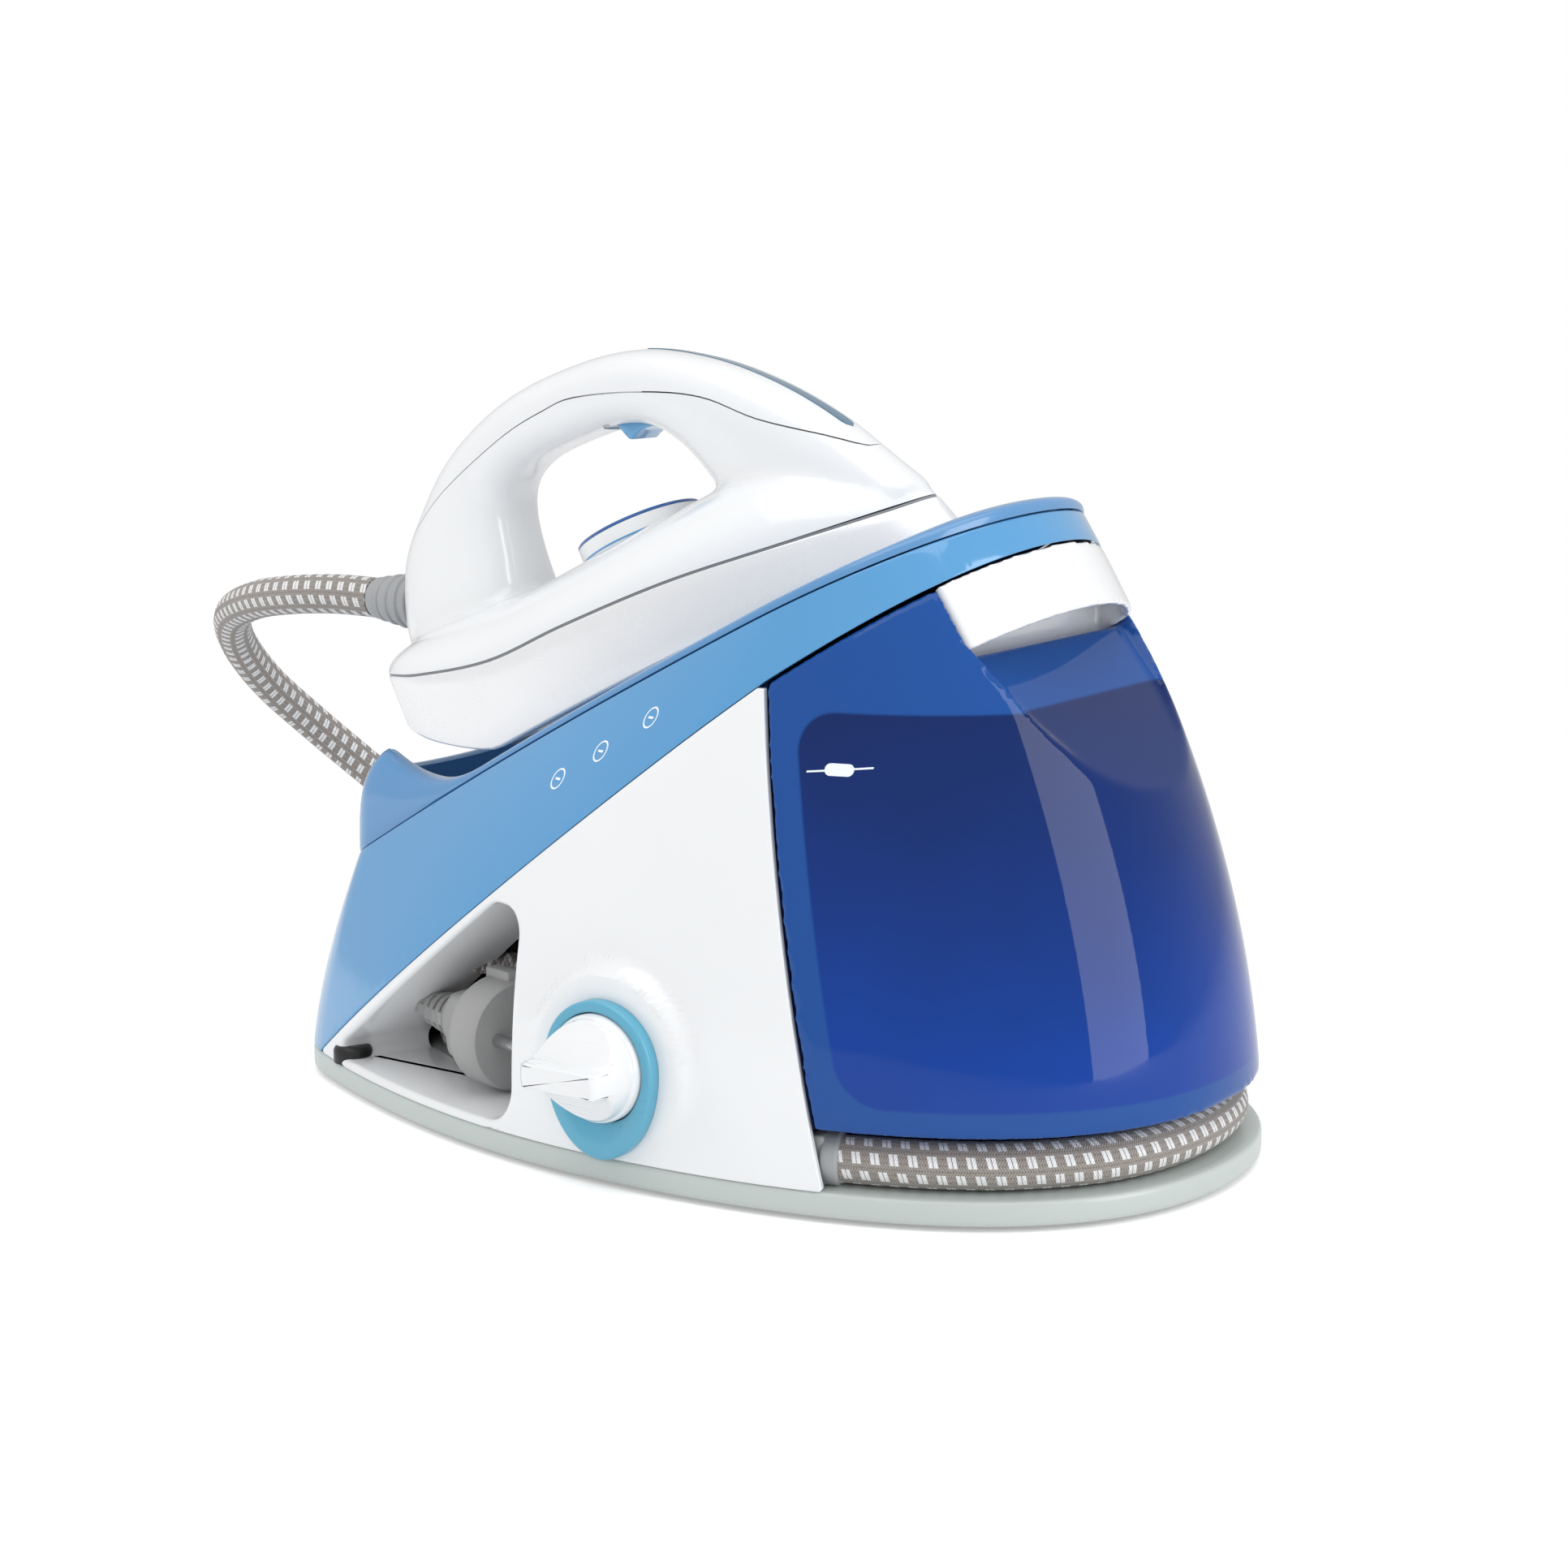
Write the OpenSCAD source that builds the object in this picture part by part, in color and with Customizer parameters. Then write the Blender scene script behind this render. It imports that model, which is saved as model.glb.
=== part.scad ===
// Steam generator iron: base station with a lift-out tank, and an iron on a hose.
// +X is the front (tank end), -Y is the side with the cord pocket, +Z is up.
// Most modules are drawn about the station's own centre plane; placed() then
// centres the whole part over its footprint.

/* [Station body] */
// Length of the base plate
body_l = 380; // [372:2:400]
// Width of the base plate
body_w = 236; // [230:2:250]
// Width of the body at the deck rim
rim_w = 154; // [148:2:164]
// Height of the deck rim above the middle of the base
rim_h = 169; // [165:1:180]
// Thickness of the moulded outer walls
wall_t = 2.5; // [2:0.1:3]
// Underside of the base plate above the surface it stands on
foot_h = 2; // [1.5:0.5:4]
// Thickness of the base plate
plate_t = 8.5; // [7.5:0.5:10]
// Gap between neighbouring covers
seam = 0.5; // [0.3:0.1:0.8]

/* [Tank] */
// Underside of the tank above the base plate
groove_h = 20; // [19.5:0.5:22]
// Depth of the hose groove from the base outline
groove_d = 23; // [22:0.5:25]
// Wall of the tank
tank_wall = 2.6; // [2:0.1:3]
// Height of the white grip band, measured upright
grip_h = 29; // [24:1:32]
// Half width of the grip band
grip_half = 54; // [46:1:56]
// Running gap between the tank and the parts it slides past
tank_gap = 0.8; // [0.5:0.1:1.2]

/* [Calc collector] */
// Radius of the knob
knob_r = 18.8; // [16:0.2:19]
// How far the grip bar stands out of the side panel
knob_out = 27; // [22:1:32]
// Radius of the drain ring
ring_r = 23; // [22:0.5:25]
// Pitch of the knob's screw
knob_pitch = 3; // [2:0.5:4]
// Radial running clearance of turning parts
run_fit = 0.05; // [0.02:0.01:0.1]

/* [Boiler and pump] */
// Radius of the boiler
boiler_r = 42; // [38:1:43]
// Length of the boiler
boiler_l = 116; // [100:2:118]
// Radius of the pump body
pump_r = 17; // [14:1:18]

/* [Iron] */
// Length of the iron from heel to nose
iron_l = 250; // [240:2:260]
// Half width of the iron
iron_half = 54; // [50:1:56]
// Tilt of the iron on its deck, in degrees
tilt = 27; // [26:0.5:28]
// Thickness of the soleplate
sole_t = 4; // [3:0.5:5]
// Radius of the temperature dial
dial_r = 27; // [22:1:27]
// Width of the steam trigger
trigger_w = 16; // [12:1:18]

/* [Cords] */
// Diameter of the steam hose
hose_d = 16; // [14:0.5:16.5]
// Diameter of the mains lead
lead_d = 8; // [6:0.5:8]
// Radius of the mains plug's round head
plug_r = 20.5; // [18:0.5:21]

/* [Hidden] */

$fn = 48;
hull_fn = 32;
far = 400;
plate_top = foot_h + plate_t;

// Face of the boss that carries the calc knob
boss_y = 1 - body_w / 2;
mid_y = (knob_out - boss_y - body_w / 2) / 2;
module placed() translate([0, mid_y, 0]) children();

// ---- curves -------------------------------------------------------------
function mix(a, b, t) = a + (b - a) * t;
function unit(v) = v / norm(v);
function bez(c, t) = pow(1 - t, 3) * c[0] + 3 * pow(1 - t, 2) * t * c[1]
  + 3 * (1 - t) * t * t * c[2] + t * t * t * c[3];
function clamp01(t) = max(0, min(1, t));
function seg(u) = min(2, floor(abs(u)));
// Point of a three-piece half outline; a negative u is the far side
function on_outline(segs, u) =
  let(p = bez(segs[seg(u)], abs(u) - seg(u))) [p.x, u < 0 ? -p.y : p.y];
function arc_pts(c, r, a0, a1, n) =
  [for (i = [0:n]) let(a = mix(a0, a1, i / n)) c + r * [cos(a), sin(a)]];
// Outline through corners with a radius at each, as [x, y, r]
function round_corner(a, b, c, r) =
  let(u = unit(a - b), v = unit(c - b), half = acos(u * v) / 2,
      k = r / tan(half), p = b + k * u, q = b + k * v, m = b + (r / sin(half)) * unit(u + v),
      a0 = atan2(p.y - m.y, p.x - m.x), d = atan2(q.y - m.y, q.x - m.x) - a0,
      turn = d > 180 ? d - 360 : d < -180 ? d + 360 : d)
  arc_pts(m, r, a0, a0 + turn, 8);
function rounded(pts) = let(n = len(pts))
  [for (i = [0:n - 1]) let(a = pts[(i + n - 1) % n], b = pts[i], c = pts[(i + 1) % n])
    each round_corner([a.x, a.y], [b.x, b.y], [c.x, c.y], b.z)];

// ---- body envelope ------------------------------------------------------
// The widest place of the base is a little ahead of its middle
wide_x = 7;
rear_x = -158;
rim_front = body_l / 2 - 74;
rim_rear = -body_l / 2 + 18;
base_half = body_w / 2;
rear = -body_l / 2;
front = body_l / 2;
rim_half = rim_w / 2;
base_segs = [
  [[body_l / 2, 0], [body_l / 2, -0.653 * base_half], [121, -base_half], [wide_x, -base_half]],
  [[wide_x, -base_half], [-55, -base_half], [-115, 22 - base_half], [rear_x, 43 - base_half]],
  [[rear_x, 43 - base_half], [-182, 55 - base_half], [-body_l / 2, -40], [-body_l / 2, 0]]];
rim_segs = [
  [[rim_front, 0], [rim_front, -45], [90, -rim_half], [42, -rim_half]],
  [[42, -rim_half], [-5, -rim_half], [-105, 15 - rim_half], [-151, 23 - rim_half]],
  [[-151, 23 - rim_half], [-167, 26 - rim_half], [rim_rear, -30], [rim_rear, 0]]];
rim_slope = 0.5;
function rim_z(x) = rim_h + rim_slope * x - 0.0002 * pow(min(x + 10, 0), 2);
// Outward normal of the base outline in plan
function plan_normal(u) = abs(u) < 0.001 ? [1, 0] : abs(u) > 2.999 ? [-1, 0]
  : let(t = on_outline(base_segs, u + 0.004) - on_outline(base_segs, u - 0.004))
    unit([t.y, -t.x]) * -1;
belly = 3.5;
function env(u, s, off) =
  let(b = on_outline(base_segs, u), r = on_outline(rim_segs, u), zr = rim_z(r.x),
      c = b + belly * unit(r - b), zc = plate_top + mix(0.5, 0.4, abs(u) / 3) * (zr - plate_top),
      a = pow(1 - s, 2), m = 2 * s * (1 - s), e = s * s, n = plan_normal(u),
      xy = a * b + m * c + e * r - off * n)
  [xy.x, xy.y, a * plate_top + m * zc + e * zr];

// ---- surface builders ---------------------------------------------------
// Closed tube of rings: every ring has the same number of points, ends are fanned
function ring_faces(nr, n) =
  [for (k = [0:nr - 2]) for (i = [0:n - 1]) let(j = (i + 1) % n, a = k * n, b = a + n)
    each [[a + i, b + j, a + j], [a + i, b + i, b + j]]];
module tube_of_rings(rings, low, high) {
  n = len(rings[0]);
  nr = len(rings);
  pts = concat([for (r = rings) each r], [low, high]);
  caps = concat([for (i = [0:n - 1]) [i, (i + 1) % n, nr * n]],
    [for (i = [0:n - 1]) [(nr - 1) * n + (i + 1) % n, (nr - 1) * n + i, nr * n + 1]]);
  polyhedron(pts, concat(ring_faces(nr, n), caps), convexity = 6);
}
// Closed ring-shaped shell: the profile rings are joined round to the first one
module loop_of_rings(rings) {
  n = len(rings[0]);
  nr = len(rings);
  faces = [for (k = [0:nr - 1]) for (i = [0:n - 1])
    let(j = (i + 1) % n, a = k * n, b = ((k + 1) % nr) * n)
    each [[a + i, b + j, a + j], [a + i, b + i, b + j]]];
  polyhedron([for (r = rings) each r], faces, convexity = 8);
}
env_n = 56;
env_s = 7;
us = [for (i = [0:env_n - 1]) 3 - 6 * i / env_n];
function env_ring(s, off) = [for (u = us) env(u, s, off)];
function mean_of(r) = let(n = len(r), w = [for (p = r) 1] * [for (p = r) 1])
  [for (k = [0:2]) [for (p = r) p[k]] * [for (p = r) 1] / w];
// The body as one solid, shrunk by off
module body_solid(off) {
  rings = [for (i = [0:env_s]) env_ring(i / env_s, off)];
  tube_of_rings(rings, mean_of(rings[0]), mean_of(rings[env_s]));
}
module body_skin() {
  loop_of_rings(concat([for (i = [0:env_s]) env_ring(i / env_s, 0)],
                       [for (i = [env_s:-1:0]) env_ring(i / env_s, wall_t)]));
}
// A side-view outline (x, z) run straight across the body from y0 to y1
module side_prism(pts, y0 = -far, y1 = far)
  translate([0, y1, 0]) rotate([90, 0, 0]) linear_extrude(y1 - y0) polygon(pts);
module box(a, b) translate(a) cube(b - a);
module along_x(x0, x1, r, y = 0, z = 0)
  translate([x0, y, z]) rotate([0, 90, 0]) cylinder(x1 - x0, r, r);
module along_y(y0, y1, r, x = 0, z = 0)
  translate([x, y1, z]) rotate([90, 0, 0]) cylinder(y1 - y0, r, r);

// ---- seams of the covers, as lines in side view --------------------------
tank_lean = 0.243;
edge_x0 = 99;
function edge_x(z) = edge_x0 - tank_lean * z;
band_drop = 33.5;
band_slope = 0.67;
function band_z(x) = rim_h - band_drop + band_slope * x;
// The corner where the tank, a side panel and the upper shell meet
knee_x = (edge_x0 - tank_lean * (rim_h - band_drop)) / (1 + tank_lean * band_slope);
knee_z = band_z(knee_x);
// The side panel's sloping edge comes down to the plate here
diag_foot = -161;
function diag_x(z) = mix(diag_foot, knee_x, (z - plate_top) / (knee_z - plate_top));
tank_floor = plate_top + groove_h + 0.3;
groove_top = plate_top + groove_h;

function outline_pts(off, n = 14) =
  [for (i = [0:6 * n - 1]) let(u = 3 - i / n, p = on_outline(base_segs, u), m = plan_normal(u))
    [p.x, p.y] - off * m];

/* Base group */
foot_x = front - 72;
foot_y = base_half - 56;
heel_foot_x = rear + 62;
heel_foot_y = base_half - 74;
foot_places = [[foot_x, foot_y], [foot_x, -foot_y],
  [heel_foot_x, heel_foot_y], [heel_foot_x, -heel_foot_y]];
screw_places = [[front - 50, 0], [40, base_half - 38], [-22, 50 - base_half], [rear + 19, 0]];
module base_plate() color("lightgray") placed() difference() {
  union() {
    difference() {
      translate([0, 0, foot_h]) linear_extrude(plate_t) polygon(outline_pts(0));
      translate([0, 0, foot_h - 1]) linear_extrude(plate_t - 2) polygon(outline_pts(4));
    }
    for (p = concat(foot_places, screw_places))
      translate([p.x, p.y, foot_h]) cylinder(plate_t - 1, 11, 11);
  }
  for (p = foot_places) translate([p.x, p.y, foot_h - 1]) cylinder(3, 8 + run_fit, 8 + run_fit);
  for (p = screw_places) {
    translate([p.x, p.y, 0]) cylinder(far, 2.2, 2.2);
    translate([p.x, p.y, foot_h - 1]) cylinder(4, 4.5, 4.5);
  }
}
module base_feet() color("dimgray") placed() for (p = foot_places)
  translate([p.x, p.y, 0]) cylinder(foot_h + 2, 8, 8);
module base_screws() color("silver") placed() for (p = screw_places) translate([p.x, p.y, foot_h + 0.6]) {
  cylinder(2.4, 4, 4);
  cylinder(plate_t + 7, 1.9, 1.9);
}

// Shelf that the tank stands on, and the wall and roof of the hose groove
shelf_x = 84;
module tank_platform() color("midnightblue") placed() difference() {
  union() {
    intersection() {
      translate([0, 0, plate_top]) linear_extrude(groove_h) polygon(outline_pts(groove_d));
      union() {
        box([shelf_x, -far, 0], [far, far, far]);
        box([-150, 0, 0], [far, far, far]);
      }
    }
    intersection() {
      translate([0, 0, groove_top - 2]) linear_extrude(2) difference() {
        polygon(outline_pts(wall_t + 0.6));
        polygon(outline_pts(groove_d + 0.5));
      }
      box([-150, 20, 0], [edge_x(groove_top) - 3, far, far]);
    }
  }
  translate([0, 0, plate_top - 1]) linear_extrude(groove_h - 1.5) intersection() {
    polygon(outline_pts(groove_d + wall_t));
    translate([shelf_x + wall_t, -far]) square([far, 2 * far]);
  }
  translate([0, 0, plate_top - 1]) linear_extrude(groove_h + 5) intersection() {
    polygon(outline_pts(groove_d + wall_t));
    translate([-far, -far]) square([far + shelf_x, 2 * far]);
  }
  translate([screw_places[0].x, screw_places[0].y, plate_top]) cylinder(groove_h - 6, 2, 2);
}
// Moulded wall behind the tank; it leans back with the tank
socket_y = 58;
socket_z = 47;
module slab_behind(a, b, z0, z1) side_prism([
  [edge_x(z0) - b, z0], [edge_x(z0) - a, z0], [edge_x(z1) - a, z1], [edge_x(z1) - b, z1]]);
module tank_bulkhead() color("midnightblue") placed() difference() {
  intersection() {
    body_solid(wall_t + 0.5);
    slab_behind(0.6, 3.4, groove_top + 0.1, band_z(edge_x(rim_h + 21)) + 6);
  }
  along_x(0, far, 10.5, socket_y, socket_z);
}

// Side panels, both from the same outline
function panel_outline(z0) = [[diag_x(z0) + seam, z0], [edge_x(z0), z0],
  [edge_x(knee_z - 2), knee_z - 2], [diag_x(knee_z - 2) + seam, knee_z - 2]];
// Mouth of the cord pocket: corners in side view, each with its radius
pocket_top = rim_h - 82;
pocket_pts = [[rear + 41, 13, 4], [-30, 13, 13], [-36, pocket_top, 11], [-53, pocket_top, 9]];
module pocket_mouth(grow, y0, y1)
  translate([0, y1, 0]) rotate([90, 0, 0]) linear_extrude(y1 - y0)
    offset(r = grow, $fn = 24) polygon(rounded(pocket_pts));
// The pocket's moulded sleeve ends on this plane, a little inside the skin
sleeve_y = -74;
calc_x = 14;
calc_z = 43;
grommet = [rear + 49, 42 - base_half];
grommet_r = 7.4;
grommet_h = 6.5;
// Outline of the calc collector's ring in side view: its lower half hangs down as a wide spout
spout_drop = calc_z - plate_top - 0.3;
module ring_outline(grow) {
  circle(ring_r + grow);
  intersection() {
    scale([1, spout_drop / ring_r]) circle(ring_r + grow);
    translate([-far, -far]) square([2 * far, far]);
  }
}
module ring_bar(y0, y1, grow)
  translate([calc_x, y1, calc_z]) rotate([90, 0, 0]) linear_extrude(y1 - y0) ring_outline(grow);
switch_x = -52;
switch_z = 74;
module side_panel_near() color("white") placed() difference() {
  intersection() {
    union() {
      body_skin();
      intersection() {
        body_solid(0.3);
        pocket_mouth(wall_t, -far, sleeve_y);
      }
      translate([calc_x, boss_y, calc_z]) rotate([-90, 0, 0]) cylinder(10, 31, 34);
    }
    side_prism(panel_outline(plate_top + 0.1), -far, 0);
  }
  pocket_mouth(0, -far, 0);
  along_y(-far, 0, ring_r - 3, calc_x, calc_z);
  ring_bar(-far, boss_y, 0.3);
  translate([grommet.x, grommet.y, plate_top - 1])
    cylinder(grommet_h + 1.5, grommet_r + 0.2, grommet_r + 0.2);
}
module side_panel_far() color("white") placed() difference() {
  intersection() {
    body_skin();
    side_prism(panel_outline(groove_top + 0.1), 0, far);
  }
  on_switch() box([-14.5, -30, -10], [14.5, 30, 10]);
}
module upper_shell() color("steelblue") placed() difference() {
  intersection() {
    body_skin();
    side_prism([[-far, plate_top + 0.1], [diag_foot, plate_top + 0.1], [knee_x, knee_z],
      [far, band_z(far)], [far, 2 * far], [-far, 2 * far]]);
  }
  box([-far, 22, 0], [-100, far, groove_top]);
}

// Deck that the iron stands on: a dish with a raised heel wall
function smooth(t) = let(c = clamp01(t)) c * c * (3 - 2 * c);
heel_wall = 37;
function lip_h(x) = 4 + (heel_wall - 4) * pow(clamp01((-85 - x) / 62), 2);
function lip_in(u) = mix(3, 13, clamp01(abs(u) / 2.2));
function deck_pt(u, off, k) =
  let(p = env(u, 1, off)) [p.x, p.y, p.z + seam + k * lip_h(p.x)];
function floor_pt(u, off, drop) = let(p = env(u, 1, off))
  [p.x, p.y, rim_h + rim_slope * p.x + 1 - drop - 12 * smooth((-90 - p.x) / 60)];
module iron_deck() color("royalblue") placed() {
  rings = [
    [for (u = us) floor_pt(u, lip_in(u) + 10, 2.2)],
    [for (u = us) floor_pt(u, lip_in(u) + 6, 2.2)],
    [for (u = us) deck_pt(u, 3, 0)],
    [for (u = us) deck_pt(u, 0.2, 0)],
    [for (u = us) deck_pt(u, mix(0.4, lip_in(u), 0.35), 0.55)],
    [for (u = us) deck_pt(u, lip_in(u), 1)],
    [for (u = us) deck_pt(u, lip_in(u) + 2.5, 0.97)],
    [for (u = us) floor_pt(u, lip_in(u) + 7, 0)]];
  low = mean_of(rings[0]);
  tube_of_rings(rings, [low.x, 0, rim_h + rim_slope * low.x - 3],
    [low.x, 0, rim_h + rim_slope * low.x + 1]);
}
// Rubber rests under the sole, square to it
iron_at = [-40, 0, rim_h - 15];
module on_iron() translate(iron_at) rotate([0, -tilt, 0]) children();
rest_gap = 0.3;
pad_spots = [[60, 24], [60, -24], [-36, 38], [-36, -38]];
module deck_pads() color("dimgray") placed() difference() {
  on_iron() for (p = pad_spots) translate([p.x, p.y, -9 - rest_gap]) cylinder(9, 7, 7);
  translate([0, 0, rim_h + 1.06]) multmatrix([[1, 0, 0, 0], [0, 1, 0, 0], [rim_slope, 0, 1, 0]])
    translate([-far, -far, -far]) cube([2 * far, 2 * far, far]);
}

// Cord pocket: a tray behind the mouth
tray = [[rear + 34, sleeve_y + 2.5, plate_top + 2.1], [-32, 36, 62]];
module cord_pocket() color("silver") placed() difference() {
  intersection() {
    union() {
      box([tray[0].x - 2, sleeve_y + 0.3, plate_top + 0.1], tray[1] + [2, 2, 2]);
      pocket_mouth(2, sleeve_y + 0.3, -30);
    }
    body_solid(wall_t + 0.5);
  }
  intersection() {
    box(tray[0], tray[1]);
    body_solid(wall_t + 2.6);
  }
  pocket_mouth(0, -far, -32);
  translate([grommet.x, grommet.y, 0])
    cylinder(plate_top + grommet_h + 1, grommet_r + 0.3, grommet_r + 0.3);
}

// Calc collector's drain ring
module calc_ring() color("turquoise") placed() difference() {
  union() {
    ring_bar(boss_y - 5, boss_y - 0.1, 0);
    along_y(boss_y - 0.2, boss_y + 3, ring_r - 3.1, calc_x, calc_z);
  }
  along_y(-far, 0, knob_r + 0.4, calc_x, calc_z);
}

/* Boiler group */
boiler_x = 66 - boiler_r;
boiler_z = plate_top + 11.5 + boiler_r;
boiler_y0 = boss_y + 39;
boiler_y1 = boiler_y0 + boiler_l;
boiler_wall = 2.5;
port_r = 14.8;
valve_y = boiler_y0 + 38;
safety_y = boiler_y0 + 86;
module boiler_body() color("silver") placed() difference() {
  along_y(boiler_y0, boiler_y1, boiler_r, boiler_x, boiler_z);
  along_y(boiler_y0 + boiler_wall, boiler_y1 - boiler_wall, boiler_r - boiler_wall, boiler_x, boiler_z);
  along_y(-far, 0, port_r, calc_x, calc_z);
  translate([boiler_x, safety_y, boiler_z]) cylinder(far, 6.05, 6.05);
  translate([boiler_x, valve_y, boiler_z]) cylinder(far, 7.05, 7.05);
}
element_r = 4;
module boiler_element() color("dimgray") placed() for (side = [-1, 1])
  let(a = 13, k = boiler_r + element_r)
  along_y(boiler_y0 + 8, boiler_y1 - 8, element_r, boiler_x + side * k * sin(a), boiler_z - k * cos(a));
module boiler_thermostat() color("white") placed()
  along_y(boiler_y1 + 0.1, boiler_y1 + 14, 11, boiler_x - 20, boiler_z + 22);
module safety_valve() color("goldenrod") placed() translate([boiler_x, safety_y, boiler_z + boiler_r]) {
  translate([0, 0, -boiler_wall]) cylinder(12, 6, 6);
  translate([0, 0, 9]) cylinder(12, 8, 8, $fn = 6);
  translate([0, 0, 20]) cylinder(8, 5, 5);
}
module boiler_saddles() color("dimgray") placed() difference() {
  for (y = [boiler_y0 + 20, boiler_y0 + 96])
    box([boiler_x - 34, y, plate_top + 0.1], [boiler_x + 34, y + 8, boiler_z - 22]);
  along_y(-far, far, boiler_r + 0.1, boiler_x, boiler_z);
  for (side = [-1, 1]) let(a = 13, k = boiler_r + element_r)
    along_y(-far, far, element_r + 0.2, boiler_x + side * k * sin(a), boiler_z - k * cos(a));
}
module calc_port() color("silver") placed() difference() {
  union() {
    along_y(boss_y + 3.2, boiler_y0 - 0.1, port_r + 2.2, calc_x, calc_z);
    along_y(boiler_y0 - 6, boiler_y0 - 0.1, port_r + 6, calc_x, calc_z);
  }
  along_y(-far, 0, port_r, calc_x, calc_z);
}
valve_top = boiler_z + boiler_r + 12;
module steam_valve() color("goldenrod") placed() {
  translate([boiler_x, valve_y, boiler_z + boiler_r - boiler_wall]) cylinder(8, 7, 7);
  box([boiler_x - 12, valve_y - 12, boiler_z + boiler_r + 4], [boiler_x + 12, valve_y + 12, valve_top + 6]);
  translate([boiler_x, valve_y, valve_top + 5]) cylinder(26, 13, 13);
}
socket_len = 16;
pump_x0 = -40;
pump_x1 = 30;
module water_pump() color("dimgray") placed() difference() {
  union() {
    along_x(pump_x0, pump_x1, pump_r, socket_y, socket_z);
    along_x(pump_x1 - 1, pump_x1 + 8, 6, socket_y, socket_z);
    translate([-20, socket_y, socket_z + pump_r - 2]) cylinder(10, 5, 5);
    for (x = [-34, 14])
      box([x, socket_y - 12, plate_top + 0.1], [x + 8, socket_y + 12, socket_z - pump_r + 3]);
  }
  along_x(pump_x1 + 2, far, 3, socket_y, socket_z);
}
module control_board() color("seagreen") placed() {
  box([-136, 43, plate_top + 6], [-60, 45, plate_top + 54]);
  box([-120, 45, plate_top + 20], [-100, 56, plate_top + 40]);
  box([-88, 45, plate_top + 16], [-76, 55, plate_top + 46]);
  for (x = [-130, -72]) box([x, 41, plate_top + 0.1], [x + 6, 47, plate_top + 8]);
}
// Tube through a list of points, with round elbows
module pipe(pts, r) {
  for (i = [0:len(pts) - 2]) let(d = pts[i + 1] - pts[i], h = norm(d))
    translate(pts[i]) rotate([0, acos(d.z / h), atan2(d.y, d.x)]) cylinder(h, r, r, $fn = 24);
  for (i = [1:len(pts) - 2]) translate(pts[i]) sphere(r, $fn = 24);
}
socket_x = edge_x(socket_z) - 6.5;
module feed_tube() color("white") placed()
  pipe([[pump_x1 + 8.1, socket_y, socket_z], [socket_x - socket_len - 0.1, socket_y, socket_z]], 4);
module boiler_tube() color("white") placed()
  pipe([[-20, socket_y, socket_z + pump_r + 8.1], [-20, socket_y, 88], [boiler_x, socket_y, 88],
    [boiler_x, boiler_y1 + 0.1, 88]], 4);
module steam_tube() color("white") placed()
  swept(route([[boiler_x + 12.5, valve_y, valve_top], [50, valve_y, valve_top - 1],
    [61, valve_y - 2, 102], [69, valve_y - 8, 80],
    [74, -58, 60], [75, -74, 45], [72, -87, 32], [71, -93, 22], [79.5, -96, 19]], 2), 3);
module tank_socket() color("dimgray") placed() difference() {
  along_x(socket_x - socket_len, socket_x, 13, socket_y, socket_z);
  along_x(socket_x - socket_len + 4, far, 8.4, socket_y, socket_z);
}

// Mains switch in the far panel, square to the leaning wall; its hinge runs up the wall
switch_lean = 16.5;
switch_yaw = 14.4;
switch_y = 100.5;
module on_switch()
  translate([switch_x, switch_y, switch_z]) rotate([switch_lean, 0, switch_yaw]) children();
module switch_bezel() color("dimgray") placed() on_switch() difference() {
  union() {
    box([-14.2, -22, -9.7], [14.2, 1, 9.7]);
    box([-16, 0.3, -11.5], [16, 2.3, 11.5]);
  }
  box([-12, -11, -8], [12, far, 8]);
  translate([0, -3, -8.8]) cylinder(17.6, 1.5 + run_fit, 1.5 + run_fit);
}
module power_rocker() color("firebrick") placed() on_switch() {
  translate([0, -3, -7.6]) linear_extrude(15.2)
    polygon([[-10, 3], [-10, 6], [0, 3.5], [9.6, 7.6], [10, 5], [3, -3], [-3, -3]]);
  translate([0, -3, -8.7]) cylinder(17.4, 1.5, 1.5);
}

// Where the mains lead comes in, and where the hose leaves
module cord_grommet() color("dimgray") placed()
  translate([grommet.x, grommet.y, plate_top + 0.1]) cylinder(grommet_h, grommet_r, grommet_r);
gland_x = 96;
gland_y = 24 - base_half;
gland_z = 19;
module hose_gland() color("dimgray") placed()
  translate([gland_x, gland_y, gland_z]) rotate([0, 0, gland_yaw]) {
  box([-14, -6.4, plate_top + 0.1 - gland_z], [-5, 8.5, groove_top - 2.6 - gland_z]);
  along_x(-6, 0, hose_d / 2);
}

/* Tank group */
grip_x = front - 86;
module band_region(drop0, drop1, x0, half)
  side_prism([[x0, band_z(x0) - drop0], [far, band_z(far) - drop0], [far, band_z(far) - drop1],
    [x0, band_z(x0) - drop1]], -half, half);
module tank_outline(gap, floor_z, drop)
  side_prism([[edge_x(floor_z) + gap, floor_z], [far, floor_z], [far, band_z(far) - drop],
    [knee_x + gap, band_z(knee_x) - drop]]);
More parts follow.
